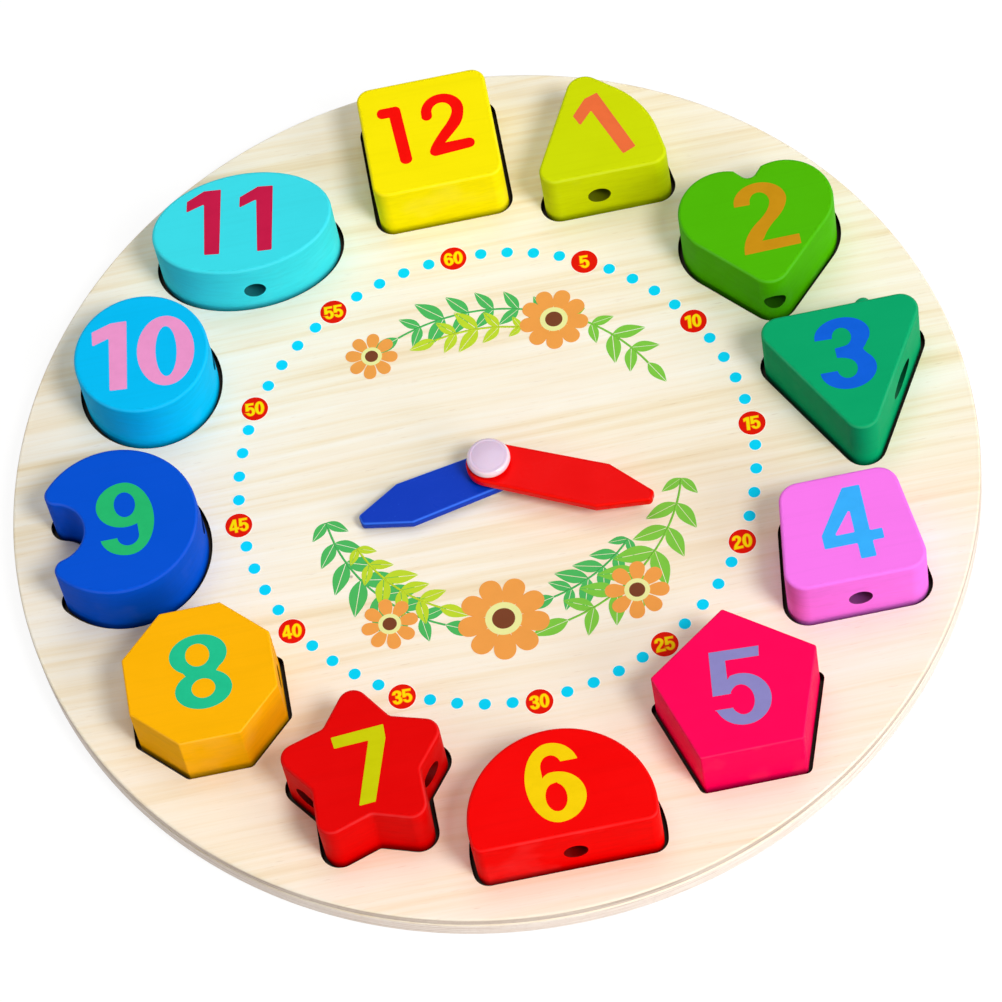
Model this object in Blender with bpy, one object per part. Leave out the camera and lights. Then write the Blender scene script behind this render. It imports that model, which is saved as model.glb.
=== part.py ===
"""A wooden teaching clock with twelve loose hour blocks.

A thin face board is glued on a thicker base board. The face board has a cut-out for each hour,
and a painted block stands in each cut-out. Block and cut-out are made from one outline, the
cut-out grown by a clearance. Every block has a cross bore for a lacing cord. The two hands turn
on a pin through the middle, which a socket holds at the back.

The origin is the centre of the base board's underside, on the axis of the pin. +Y points to
twelve o'clock, +X to three o'clock and +Z out of the face. All lengths are in metres.
"""

import math
from collections import namedtuple

import bmesh
import bpy
from mathutils import Vector

# Boards
BOARD_DIAMETER = 0.2250
BASE_THICKNESS = 0.0045
FACE_THICKNESS = 0.0025
BASE_EDGE_ROUND = 0.0008
FACE_EDGE_ROUND = 0.0006

# Gaps between pieces
SEAT_GAP = 0.0003
SHAFT_CLEARANCE = 0.0003
CUTOUT_CLEARANCE = 0.0009
CUT_OVERRUN = 0.0020

# All hour blocks
BLOCK_THICKNESS = 0.0178
BLOCK_EDGE_ROUND = 0.0009
LACING_BORE_DIAMETER = 0.0062

# Twelve, a square
SQUARE_WIDTH = 0.0312
SQUARE_CORNER = 0.0034

# One, a quadrant with its right angle at the lower left
QUADRANT_WIDTH = 0.0333
QUADRANT_HEIGHT = 0.0316
QUADRANT_CORNER = 0.0037
QUADRANT_SIDE_RADIUS = 0.0226
QUADRANT_TOP_CORNER = 0.0044

# Two, a heart
HEART_LOBE_RADIUS = 0.0114
HEART_LOBE_SPACING = 0.0139
HEART_TIP_DROP = 0.0240
HEART_TIP_ROUND = 0.0050
HEART_NOTCH_HEIGHT = 0.0064
HEART_NOTCH_ROUND = 0.0022

# Three, a triangle that points down
TRIANGLE_WIDTH = 0.0420
TRIANGLE_HEIGHT = 0.0380
TRIANGLE_CORNER = 0.0042

# Four, a trapezoid
TRAPEZOID_BOTTOM_WIDTH = 0.0333
TRAPEZOID_TOP_WIDTH = 0.0264
TRAPEZOID_HEIGHT = 0.0282
TRAPEZOID_CORNER = 0.0048

# Five, a pentagon
PENTAGON_RADIUS = 0.0198

# Six, a disc cut off below its centre
HALF_ROUND_RADIUS = 0.0212
HALF_ROUND_DROP = 0.0054
HALF_ROUND_CORNER = 0.0025

# Seven, a five-pointed star
STAR_TIP_RADIUS = 0.0213
STAR_INNER_RADIUS = 0.01295
STAR_TIP_ROUND = 0.0035
STAR_INNER_ROUND = 0.0020

# Eight, an octagon
OCTAGON_RADIUS = 0.0186

# Nine, a disc with a round notch in its left side
NOTCHED_DISC_RADIUS = 0.0190
NOTCH_DEPTH = 0.0114
NOTCH_RADIUS = 0.0075
NOTCH_MOUTH_ROUND = 0.0028

# Ten, a disc
DISC_RADIUS = 0.0159

# Eleven, an oval
OVAL_WIDTH = 0.0431
OVAL_HEIGHT = 0.0277

# Places of the blocks on the face, and of their bores beside their middle
PLACE_SHARES = {
    12: (0.008, 0.777),
    1: (0.198, 0.583),
    2: (0.645, 0.439),
    3: (0.761, -0.007),
    4: (0.681, -0.356),
    5: (0.398, -0.657),
    6: (0.010, -0.855),
    7: (-0.356, -0.660),
    8: (-0.647, -0.390),
    9: (-0.768, -0.005),
    10: (-0.665, 0.376),
    11: (-0.411, 0.645),
}
QUADRANT_SHOULDER_SHARES = (0.914, 0.590)
QUADRANT_TOP_SHARE = 0.456
QUADRANT_BORE_SHARE = 0.460
TRIANGLE_BORE_SHARE = 0.270
PENTAGON_BORE_SHARE = 0.570
HALF_ROUND_BORE_SHARE = 0.060
STAR_BORE_SHARE = -0.080

# Hands
HAND_THICKNESS = 0.0026
HAND_EDGE_ROUND = 0.0005
HAND_CORNER = 0.0010
HAND_TIP_WIDTH = 0.0026
HOUR_HAND_LENGTH = 0.0324
HOUR_HAND_SHOULDER = 0.0214
HOUR_HAND_WIDTH = 0.0114
MINUTE_HAND_LENGTH = 0.0392
MINUTE_HAND_SHOULDER = 0.0272
MINUTE_HAND_WIDTH = 0.0117
HAND_TAIL_SLIMMING = 0.0008
HOUR_HAND_DEGREES = 258.7
MINUTE_HAND_DEGREES = 116.0

# Pin, washers and rear socket
PIN_SHAFT_DIAMETER = 0.0050
PIN_HEAD_DIAMETER = 0.0101
PIN_HEAD_HEIGHT = 0.0028
PIN_RIM_HEIGHT = 0.0009
PIN_TIP_CHAMFER = 0.0005
WASHER_DIAMETER = 0.0094
WASHER_THICKNESS = 0.0005
SOCKET_FLANGE_DIAMETER = 0.0140
SOCKET_FLANGE_THICKNESS = 0.0014
SOCKET_SINK = 0.0004
SOCKET_WALL = 0.0012
SOCKET_FLOOR = 0.0010

# Numbers of facets and of steps along a curve
BOARD_FACETS = 96
BORE_FACETS = 16
ROUND_FACETS = 28
DISC_FACETS = 36
EDGE_SEGMENTS = 2
CORNER_STEPS = 4
TAIL_STEPS = 12
LOBE_STEPS = 10
NOTCHED_RIM_STEPS = 26
NOTCH_STEPS = 8
DOME_STEPS = 5

# Angles in degrees, a fillet's largest reach on a side, and the distance at which points are one
SHARP_DEGREES = 30.0
HEART_LOBE_END_DEGREES = 109.0
FILLET_REACH_SHARE = 0.48
MERGE_DISTANCE = 0.000001

# Heights above the base board's underside, worked out from the sizes above
FACE_BOTTOM = BASE_THICKNESS + SEAT_GAP
FACE_TOP = FACE_BOTTOM + FACE_THICKNESS
BLOCK_BOTTOM = BASE_THICKNESS + SEAT_GAP
HOUR_WASHER_BOTTOM = FACE_TOP + SEAT_GAP
HOUR_HAND_BOTTOM = HOUR_WASHER_BOTTOM + WASHER_THICKNESS + SEAT_GAP
MINUTE_WASHER_BOTTOM = HOUR_HAND_BOTTOM + HAND_THICKNESS + SEAT_GAP
MINUTE_HAND_BOTTOM = MINUTE_WASHER_BOTTOM + WASHER_THICKNESS + SEAT_GAP
PIN_HEAD_BOTTOM = MINUTE_HAND_BOTTOM + HAND_THICKNESS + SEAT_GAP

# Radii round the pin
SHAFT_RADIUS = PIN_SHAFT_DIAMETER / 2
HAND_BORE_RADIUS = SHAFT_RADIUS + SHAFT_CLEARANCE
SOCKET_BORE_RADIUS = SHAFT_RADIUS + SHAFT_CLEARANCE
SOCKET_BARREL_RADIUS = SOCKET_BORE_RADIUS + SOCKET_WALL
BOARD_BORE_RADIUS = SOCKET_BARREL_RADIUS + SHAFT_CLEARANCE
COUNTERBORE_RADIUS = SOCKET_FLANGE_DIAMETER / 2 + SEAT_GAP
COUNTERBORE_DEPTH = SOCKET_SINK + SOCKET_FLANGE_THICKNESS + SEAT_GAP

# Distances of the bores from the middle or the corner of their blocks
QUADRANT_BORE_SHIFT = QUADRANT_WIDTH * QUADRANT_BORE_SHARE
TRIANGLE_BORE_SHIFT = TRIANGLE_WIDTH * TRIANGLE_BORE_SHARE
PENTAGON_BORE_SHIFT = PENTAGON_RADIUS * PENTAGON_BORE_SHARE
HALF_ROUND_BORE_SHIFT = HALF_ROUND_RADIUS * HALF_ROUND_BORE_SHARE
STAR_BORE_SHIFT = STAR_TIP_RADIUS * STAR_BORE_SHARE

# Colours
BIRCH = (0.87, 0.76, 0.58)
YELLOW = (0.95, 0.82, 0.00)
LIME = (0.60, 0.70, 0.00)
GREEN = (0.08, 0.50, 0.00)
EMERALD = (0.01, 0.40, 0.15)
PINK = (0.90, 0.20, 0.85)
CRIMSON = (0.90, 0.00, 0.10)
RED = (0.90, 0.01, 0.01)
DARK_RED = (0.80, 0.01, 0.01)
ORANGE = (0.95, 0.45, 0.00)
BLUE = (0.01, 0.08, 0.65)
SKY_BLUE = (0.00, 0.50, 0.95)
TURQUOISE = (0.05, 0.70, 0.85)
HOUR_BLUE = (0.02, 0.05, 0.58)
LAVENDER = (0.74, 0.56, 0.78)
MILKY = (0.80, 0.80, 0.78)

Block = namedtuple("Block", "name hour outline bore_axis bore_shift colour")


def arc(centre, radius, start, end, steps):
    """Points along an arc, both ends included. The angles are in degrees."""
    points = []
    for i in range(steps + 1):
        angle = math.radians(start + (end - start) * i / steps)
        points.append((centre[0] + radius * math.cos(angle), centre[1] + radius * math.sin(angle)))
    return points


def rounded(corners, radii, steps=CORNER_STEPS):
    """A polygon, counter-clockwise, with each corner turned into an arc of its own radius.

    A radius of zero keeps the corner. An arc reaches at most about half way along a side.
    """
    points = []
    count = len(corners)
    for i, radius in enumerate(radii):
        corner = Vector(corners[i])
        if radius == 0:
            points.append(tuple(corner))
            continue
        before = Vector(corners[i - 1]) - corner
        after = Vector(corners[(i + 1) % count]) - corner
        half = before.angle(after) / 2
        longest = FILLET_REACH_SHARE * min(before.length, after.length)
        reach = min(radius / math.tan(half), longest)
        radius = reach * math.tan(half)
        inward = (before.normalized() + after.normalized()).normalized()
        centre = corner + inward * math.hypot(radius, reach)
        first = corner + before.normalized() * reach - centre
        last = corner + after.normalized() * reach - centre
        start = math.degrees(math.atan2(first.y, first.x))
        turn = (math.degrees(math.atan2(last.y, last.x)) - start + 180) % 360 - 180
        points += arc(centre, radius, start, start + turn, steps)
    return points


def grown(outline, distance):
    """The outline moved outwards by a distance, with mitred corners."""
    points = []
    count = len(outline)
    for i in range(count):
        point = Vector(outline[i])
        along_before = (point - Vector(outline[i - 1])).normalized()
        along_after = (Vector(outline[(i + 1) % count]) - point).normalized()
        normal_before = Vector((along_before.y, -along_before.x))
        normal_after = Vector((along_after.y, -along_after.x))
        mitre = (normal_before + normal_after) / (1 + normal_before.dot(normal_after))
        points.append(tuple(point + mitre * distance))
    return points


def mirrored(points):
    """The points mirrored left to right, in reverse order."""
    return [(-x, y) for x, y in reversed(points)]


def ellipse(width, height, steps):
    """An ellipse round the origin."""
    return [(x * width / 2, y * height / 2) for x, y in arc((0, 0), 1, 0, 360, steps)[:-1]]


def square():
    half = SQUARE_WIDTH / 2
    corners = [(-half, -half), (half, -half), (half, half), (-half, half)]
    return rounded(corners, [SQUARE_CORNER] * 4)


def quadrant():
    """The origin is the sharp lower left corner. The right side is one wide arc."""
    share_x, share_y = QUADRANT_SHOULDER_SHARES
    shoulder = (QUADRANT_WIDTH * share_x, QUADRANT_HEIGHT * share_y)
    top = (QUADRANT_WIDTH * QUADRANT_TOP_SHARE, QUADRANT_HEIGHT)
    corners = [(0, 0), (QUADRANT_WIDTH, 0), shoulder, top]
    radii = [QUADRANT_CORNER, QUADRANT_CORNER, QUADRANT_SIDE_RADIUS, QUADRANT_TOP_CORNER]
    return rounded(corners, radii)


def heart():
    """Two lobes, a rounded tip whose sides touch the lobes, and a notch between the lobes."""
    spread = HEART_LOBE_SPACING / 2
    to_tip = math.hypot(spread, HEART_TIP_DROP)
    towards_tip = math.degrees(math.atan2(-HEART_TIP_DROP, -spread))
    touch = towards_tip + math.degrees(math.acos(HEART_LOBE_RADIUS / to_tip))
    lobe = arc((spread, 0), HEART_LOBE_RADIUS, touch, HEART_LOBE_END_DEGREES, LOBE_STEPS)
    corners = [(0, -HEART_TIP_DROP)] + lobe + [(0, HEART_NOTCH_HEIGHT)] + mirrored(lobe)
    radii = [0] * len(corners)
    radii[0] = HEART_TIP_ROUND
    radii[len(lobe) + 1] = HEART_NOTCH_ROUND
    return rounded(corners, radii)


def triangle():
    half = TRIANGLE_WIDTH / 2
    top = TRIANGLE_HEIGHT / 2
    return rounded([(-half, top), (0, -top), (half, top)], [TRIANGLE_CORNER] * 3, CORNER_STEPS + 1)


def trapezoid():
    bottom = TRAPEZOID_BOTTOM_WIDTH / 2
    top = TRAPEZOID_TOP_WIDTH / 2
    half = TRAPEZOID_HEIGHT / 2
    corners = [(-bottom, -half), (bottom, -half), (top, half), (-top, half)]
    return rounded(corners, [TRAPEZOID_CORNER] * 4)


def pentagon():
    return arc((0, 0), PENTAGON_RADIUS, 90, 450, 5)[:-1]


def half_round():
    """The origin is the centre of the wide arc, which runs into the rounded lower corners."""
    corner_y = HALF_ROUND_CORNER - HALF_ROUND_DROP
    corner_x = math.sqrt((HALF_ROUND_RADIUS - HALF_ROUND_CORNER) ** 2 - corner_y**2)
    meeting = math.degrees(math.atan2(corner_y, corner_x))
    right = arc((corner_x, corner_y), HALF_ROUND_CORNER, -90, meeting, CORNER_STEPS)
    crown = arc((0, 0), HALF_ROUND_RADIUS, meeting, 180 - meeting, DISC_FACETS // 2)
    return right[:-1] + crown + mirrored(right)[1:]


def star():
    tips = arc((0, 0), STAR_TIP_RADIUS, 90, 450, 5)[:-1]
    inner = arc((0, 0), STAR_INNER_RADIUS, 126, 486, 5)[:-1]
    corners = [corner for pair in zip(tips, inner) for corner in pair]
    return rounded(corners, [STAR_TIP_ROUND, STAR_INNER_ROUND] * 5, CORNER_STEPS - 1)


def octagon():
    return arc((0, 0), OCTAGON_RADIUS, 22.5, 382.5, 8)[:-1]


def notched_disc():
    """The notch is an arc, joined to the disc's rim by two smaller arcs at its mouth."""
    rim = NOTCHED_DISC_RADIUS
    notch_x = NOTCH_DEPTH - rim - NOTCH_RADIUS
    to_rim = rim - NOTCH_MOUTH_ROUND
    to_notch = NOTCH_RADIUS + NOTCH_MOUTH_ROUND
    mouth_x = (to_rim**2 - to_notch**2 + notch_x**2) / (2 * notch_x)
    mouth_y = math.sqrt(to_rim**2 - mouth_x**2)
    leaving = math.degrees(math.atan2(mouth_y, mouth_x))
    entering = math.degrees(math.atan2(mouth_y, mouth_x - notch_x))
    round_rim = arc((0, 0), rim, -leaving, leaving, NOTCHED_RIM_STEPS)
    upper = arc((mouth_x, mouth_y), NOTCH_MOUTH_ROUND, leaving, entering + 180, CORNER_STEPS + 1)
    notch = arc((notch_x, 0), NOTCH_RADIUS, entering, -entering, NOTCH_STEPS)
    lower = [(x, -y) for x, y in reversed(upper)]
    return round_rim + upper[1:] + notch[1:] + lower[1:-1]


def disc():
    return ellipse(2 * DISC_RADIUS, 2 * DISC_RADIUS, DISC_FACETS)


def oval():
    return ellipse(OVAL_WIDTH, OVAL_HEIGHT, DISC_FACETS)


def hand_outline(length, shoulder, width):
    """A pencil shape along +Y with a round tail about the pin and a blunt tip."""
    tail = (width - HAND_TAIL_SLIMMING) / 2
    tip = HAND_TIP_WIDTH / 2
    blade = [
        (tail, 0),
        (width / 2, shoulder),
        (tip, length),
        (-tip, length),
        (-width / 2, shoulder),
        (-tail, 0),
    ]
    radii = [0] + [HAND_CORNER] * 4 + [0]
    return arc((0, 0), tail, 180, 360, TAIL_STEPS)[1:-1] + rounded(blade, radii)


BLOCKS = (
    Block("block_12_square", 12, square(), "X", 0, YELLOW),
    Block("block_1_quadrant", 1, quadrant(), "Y", QUADRANT_BORE_SHIFT, LIME),
    Block("block_2_heart", 2, heart(), "Y", 0, GREEN),
    Block("block_3_triangle", 3, triangle(), "Y", TRIANGLE_BORE_SHIFT, EMERALD),
    Block("block_4_trapezoid", 4, trapezoid(), "Y", 0, PINK),
    Block("block_5_pentagon", 5, pentagon(), "X", PENTAGON_BORE_SHIFT, CRIMSON),
    Block("block_6_half_round", 6, half_round(), "Y", HALF_ROUND_BORE_SHIFT, RED),
    Block("block_7_star", 7, star(), "X", STAR_BORE_SHIFT, DARK_RED),
    Block("block_8_octagon", 8, octagon(), "X", 0, ORANGE),
    Block("block_9_notched_disc", 9, notched_disc(), "X", 0, BLUE),
    Block("block_10_disc", 10, disc(), "X", 0, SKY_BLUE),
    Block("block_11_oval", 11, oval(), "Y", 0, TURQUOISE),
)


def clear_scene():
    for thing in list(bpy.data.objects):
        bpy.data.objects.remove(thing, do_unlink=True)


def paint(name, colour, roughness):
    """A material of one colour, with no metal in it."""
    material = bpy.data.materials.new(name)
    material.use_nodes = True
    shader = material.node_tree.nodes["Principled BSDF"]
    shader.inputs["Base Color"].default_value = (*colour, 1)
    shader.inputs["Roughness"].default_value = roughness
    shader.inputs["Metallic"].default_value = 0
    return material


def add_object(name, shape, material, parent, place):
    """Turn a bmesh into a named object at its place."""
    bmesh.ops.recalc_face_normals(shape, faces=shape.faces)
    mesh = bpy.data.meshes.new(name)
    shape.to_mesh(mesh)
    shape.free()
    mesh.shade_smooth()
    mesh.set_sharp_from_angle(angle=math.radians(SHARP_DEGREES))
    if material:
        mesh.materials.append(material)
    thing = bpy.data.objects.new(name, mesh)
    bpy.context.collection.objects.link(thing)
    thing.parent = parent
    thing.location = place
    return thing


def slab(outline, height, edge_round):
    """An outline extruded upwards from zero, with both rims rounded over."""
    shape = bmesh.new()
    face = shape.faces.new([shape.verts.new((x, y, 0)) for x, y in outline])
    extruded = bmesh.ops.extrude_face_region(shape, geom=[face])["geom"]
    upper = [v for v in extruded if isinstance(v, bmesh.types.BMVert)]
    bmesh.ops.translate(shape, vec=(0, 0, height), verts=upper)
    if edge_round > 0:
        rims = [e for e in shape.edges if e.verts[0].co.z == e.verts[1].co.z]
        bmesh.ops.bevel(
            shape,
            geom=rims,
            offset=edge_round,
            segments=EDGE_SEGMENTS,
            profile=0.5,
            affect="EDGES",
        )
    return shape


def turned(profile, facets=ROUND_FACETS, closed=False):
    """A profile of radii and heights turned about the Z axis."""
    shape = bmesh.new()
    points = [shape.verts.new((radius, 0, height)) for radius, height in profile]
    edges = [shape.edges.new(pair) for pair in zip(points, points[1:])]
    if closed:
        edges.append(shape.edges.new((points[-1], points[0])))
    bmesh.ops.spin(
        shape,
        geom=points + edges,
        cent=(0, 0, 0),
        axis=(0, 0, 1),
        angle=math.tau,
        steps=facets,
        use_merge=True,
    )
    bmesh.ops.remove_doubles(shape, verts=shape.verts, dist=MERGE_DISTANCE)
    return shape


def add_cutter(name, shape, body, place=(0, 0, 0)):
    """A guide that cuts a body and isn't a piece of the clock."""
    cutter = add_object(name, shape, None, body, place)
    cutter.hide_render = True
    cutter.display_type = "WIRE"
    cut = body.modifiers.new(name, "BOOLEAN")
    cut.operation = "DIFFERENCE"
    cut.solver = "EXACT"
    cut.object = cutter
    return cutter


def rod(radius, bottom, top):
    """A plain round bar on the Z axis, for boring holes."""
    return turned([(0, bottom), (radius, bottom), (radius, top), (0, top)], BORE_FACETS)


def block_place(block):
    radius = BOARD_DIAMETER / 2
    share_x, share_y = PLACE_SHARES[block.hour]
    return Vector((radius * share_x, radius * share_y, BLOCK_BOTTOM))


def add_base_board(clock):
    """The thick board, with a stepped hole from behind for the socket."""
    outline = ellipse(BOARD_DIAMETER, BOARD_DIAMETER, BOARD_FACETS)
    wood = paint("base_birch", BIRCH, 0.6)
    shape = slab(outline, BASE_THICKNESS, BASE_EDGE_ROUND)
    board = add_object("base_board", shape, wood, clock, (0, 0, 0))
    profile = [
        (0, -CUT_OVERRUN),
        (COUNTERBORE_RADIUS, -CUT_OVERRUN),
        (COUNTERBORE_RADIUS, COUNTERBORE_DEPTH),
        (BOARD_BORE_RADIUS, COUNTERBORE_DEPTH),
        (BOARD_BORE_RADIUS, BASE_THICKNESS + CUT_OVERRUN),
        (0, BASE_THICKNESS + CUT_OVERRUN),
    ]
    add_cutter("socket_hole", turned(profile), board)


def add_face_board(clock):
    """The thin board, with the cut-outs of all twelve blocks and the hole for the pin."""
    outline = ellipse(BOARD_DIAMETER, BOARD_DIAMETER, BOARD_FACETS)
    wood = paint("face_birch", BIRCH, 0.55)
    shape = slab(outline, FACE_THICKNESS, FACE_EDGE_ROUND)
    board = add_object("face_board", shape, wood, clock, (0, 0, FACE_BOTTOM))
    cut_height = FACE_THICKNESS + 2 * CUT_OVERRUN
    for block in BLOCKS:
        place = block_place(block)
        opening = slab(grown(block.outline, CUTOUT_CLEARANCE), cut_height, 0)
        add_cutter(f"cutout_{block.hour}", opening, board, (place.x, place.y, -CUT_OVERRUN))
    add_cutter("face_pin_hole", rod(BOARD_BORE_RADIUS, -CUT_OVERRUN, FACE_THICKNESS + CUT_OVERRUN), board)


def add_block(block, clock):
    """One hour block, with its bore at half its thickness."""
    shape = slab(block.outline, BLOCK_THICKNESS, BLOCK_EDGE_ROUND)
    colour = paint(f"{block.name}_paint", block.colour, 0.4)
    body = add_object(block.name, shape, colour, clock, block_place(block))
    reach = max(math.hypot(x, y) for x, y in block.outline) + CUT_OVERRUN
    bore = rod(LACING_BORE_DIAMETER / 2, -reach, reach)
    if block.bore_axis == "X":
        place = (0, block.bore_shift, BLOCK_THICKNESS / 2)
        turn = (0, math.pi / 2, 0)
    else:
        place = (block.bore_shift, 0, BLOCK_THICKNESS / 2)
        turn = (math.pi / 2, 0, 0)
    cutter = add_cutter(f"lacing_bore_{block.hour}", bore, body, place)
    cutter.rotation_euler = turn


def add_hand(name, outline, degrees, bottom, colour, clock):
    """A hand bored for the pin and turned clockwise from twelve o'clock."""
    lacquer = paint(f"{name}_paint", colour, 0.35)
    shape = slab(outline, HAND_THICKNESS, HAND_EDGE_ROUND)
    hand = add_object(name, shape, lacquer, clock, (0, 0, bottom))
    hand.rotation_euler.z = -math.radians(degrees)
    add_cutter(f"{name}_bore", rod(HAND_BORE_RADIUS, -CUT_OVERRUN, HAND_THICKNESS + CUT_OVERRUN), hand)


def add_hands(clock):
    hour = hand_outline(HOUR_HAND_LENGTH, HOUR_HAND_SHOULDER, HOUR_HAND_WIDTH)
    minute = hand_outline(MINUTE_HAND_LENGTH, MINUTE_HAND_SHOULDER, MINUTE_HAND_WIDTH)
    add_hand("hour_hand", hour, HOUR_HAND_DEGREES, HOUR_HAND_BOTTOM, HOUR_BLUE, clock)
    add_hand("minute_hand", minute, MINUTE_HAND_DEGREES, MINUTE_HAND_BOTTOM, RED, clock)


def add_washer(name, bottom, clock):
    inner = HAND_BORE_RADIUS
    outer = WASHER_DIAMETER / 2
    profile = [(inner, 0), (outer, 0), (outer, WASHER_THICKNESS), (inner, WASHER_THICKNESS)]
    nylon = paint(f"{name}_nylon", MILKY, 0.4)
    add_object(name, turned(profile, closed=True), nylon, clock, (0, 0, bottom))


def add_centre_pin(clock):
    """A domed head with a low rim, on a shaft that ends just above the socket's floor."""
    head = PIN_HEAD_DIAMETER / 2
    dome = PIN_HEAD_HEIGHT - PIN_RIM_HEIGHT
    shaft_end = SOCKET_SINK + SOCKET_FLOOR + SEAT_GAP - PIN_HEAD_BOTTOM
    profile = [
        (0, shaft_end),
        (SHAFT_RADIUS - PIN_TIP_CHAMFER, shaft_end),
        (SHAFT_RADIUS, shaft_end + PIN_TIP_CHAMFER),
        (SHAFT_RADIUS, 0),
        (head, 0),
        (head, PIN_RIM_HEIGHT),
    ]
    for i in range(1, DOME_STEPS):
        angle = math.pi / 2 * i / DOME_STEPS
        profile.append((head * math.cos(angle), PIN_RIM_HEIGHT + dome * math.sin(angle)))
    profile.append((0, PIN_HEAD_HEIGHT))
    plastic = paint("pin_plastic", LAVENDER, 0.3)
    add_object("centre_pin", turned(profile), plastic, clock, (0, 0, PIN_HEAD_BOTTOM))


def add_rear_socket(clock):
    """A flanged collar, open upwards, that holds the end of the pin."""
    flange = SOCKET_FLANGE_DIAMETER / 2
    barrel_top = FACE_TOP - SOCKET_SINK - SEAT_GAP
    profile = [
        (0, 0),
        (flange, 0),
        (flange, SOCKET_FLANGE_THICKNESS),
        (SOCKET_BARREL_RADIUS, SOCKET_FLANGE_THICKNESS),
        (SOCKET_BARREL_RADIUS, barrel_top),
        (SOCKET_BORE_RADIUS, barrel_top),
        (SOCKET_BORE_RADIUS, SOCKET_FLOOR),
        (0, SOCKET_FLOOR),
    ]
    plastic = paint("socket_plastic", LAVENDER, 0.35)
    add_object("rear_socket", turned(profile), plastic, clock, (0, 0, SOCKET_SINK))


def build_clock():
    clear_scene()
    clock = bpy.data.objects.new("teaching_clock", None)
    bpy.context.collection.objects.link(clock)
    add_base_board(clock)
    add_face_board(clock)
    for block in BLOCKS:
        add_block(block, clock)
    add_rear_socket(clock)
    add_washer("hour_washer", HOUR_WASHER_BOTTOM, clock)
    add_washer("minute_washer", MINUTE_WASHER_BOTTOM, clock)
    add_hands(clock)
    add_centre_pin(clock)


build_clock()
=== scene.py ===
"""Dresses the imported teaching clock: birch boards, painted blocks with printed numerals, the
printed minute ring and garland, two lacquered hands on a plastic pin, and a plain pale studio.

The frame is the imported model's, in metres: the origin is under the middle of the base board,
+Y points to twelve o'clock, +X to three o'clock and +Z out of the face. Outlines and prints
are drawn in millimetres and turned into metres where a mesh is made.
"""

import math
from collections import namedtuple

import bmesh
import bpy
from mathutils import Matrix, Vector


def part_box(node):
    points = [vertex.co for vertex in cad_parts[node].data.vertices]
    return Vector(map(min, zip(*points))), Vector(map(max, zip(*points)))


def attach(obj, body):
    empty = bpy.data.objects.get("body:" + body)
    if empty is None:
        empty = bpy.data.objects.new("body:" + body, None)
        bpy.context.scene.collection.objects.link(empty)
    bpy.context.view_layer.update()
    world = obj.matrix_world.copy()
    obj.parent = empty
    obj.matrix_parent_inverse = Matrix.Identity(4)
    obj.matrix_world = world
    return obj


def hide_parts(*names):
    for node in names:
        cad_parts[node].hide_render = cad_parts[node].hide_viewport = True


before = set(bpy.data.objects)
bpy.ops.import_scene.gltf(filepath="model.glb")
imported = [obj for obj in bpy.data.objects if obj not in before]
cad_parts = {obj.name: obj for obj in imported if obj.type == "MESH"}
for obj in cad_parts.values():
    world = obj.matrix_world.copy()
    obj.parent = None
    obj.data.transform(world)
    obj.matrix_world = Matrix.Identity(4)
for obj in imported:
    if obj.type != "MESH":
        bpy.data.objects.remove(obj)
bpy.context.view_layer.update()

MM = 0.001

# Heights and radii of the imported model, in metres
BOARD_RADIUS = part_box("face_board")[1][0]
BASE_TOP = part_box("base_board")[1][2]
FACE_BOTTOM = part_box("face_board")[0][2]
FACE_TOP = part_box("face_board")[1][2]
BLOCK_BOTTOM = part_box("block_12_square")[0][2]
BLOCK_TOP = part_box("block_12_square")[1][2]
HOUR_HAND_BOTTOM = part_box("hour_hand")[0][2]
HOUR_HAND_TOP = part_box("hour_hand")[1][2]
MINUTE_HAND_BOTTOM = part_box("minute_hand")[0][2]
MINUTE_HAND_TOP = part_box("minute_hand")[1][2]
PIN_HEAD_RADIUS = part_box("centre_pin")[1][0]
PIN_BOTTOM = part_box("centre_pin")[0][2]
PIN_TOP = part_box("centre_pin")[1][2]
SOCKET_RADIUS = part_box("rear_socket")[1][0]
SOCKET_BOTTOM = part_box("rear_socket")[0][2]
SOCKET_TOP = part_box("rear_socket")[1][2]

# Prints lie on their wood, and the blocks' wood stops short of the model's top by one print
INK_THICKNESS = 0.05 * MM
INK_SINK = 0.03 * MM
COAT_STEP = 0.02 * MM
OVERLAP_STEP = 0.005 * MM
WOOD_TOP = BLOCK_TOP - (INK_THICKNESS - INK_SINK)

# Edges, gaps and bores
BOARD_EDGE_ROUND = 0.6 * MM
CUTOUT_CLEARANCE = 0.9
CUTOUT_CHAMFER = 0.15
# Painted shade on the recess floors: how far past the gap it runs under the face board, and the scale of the block's
# outline at which it has faded out
RECESS_SHADE_OVERLAP = 0.2
RECESS_SHADE_INNER_SHARE = 0.84
BORE_RADIUS = 2.6 * MM
BORE_MOUTH_ROUND = 0.15 * MM
BORE_OVERRUN = 8.0 * MM
BLOCK_EDGE_ROUND = 0.8
CRISP_EDGE_ROUND = 0.5
HAND_EDGE_ROUND = 0.7
PIN_SHAFT_RADIUS = 2.5 * MM
SHAFT_CLEARANCE = 0.3 * MM
PIN_SEAT_GAP = 0.3 * MM
PIN_TIP_CHAMFER = 0.5 * MM
SOCKET_WALL = 1.2 * MM
SOCKET_FLANGE = 1.4 * MM
SOCKET_FLOOR = 1.0 * MM
OVERRUN = 2.0 * MM

# Pin knots in the face board: place and radius, in metres
FACE_KNOTS = (
    (-36.2 * MM, -18.6 * MM, 0.42 * MM),
    (34.0 * MM, 88.5 * MM, 0.30 * MM),
)

# Steps along curves
RIM_STEPS = 6
CORNER_STEPS = 10
ARC_STEPS = 48
BOARD_FACETS = 288
BORE_FACETS = 48
ROUND_FACETS = 96
PRINT_FACETS = 40
PIN_RIM_STEPS = 8
PIN_DOME_STEPS = 14

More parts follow.
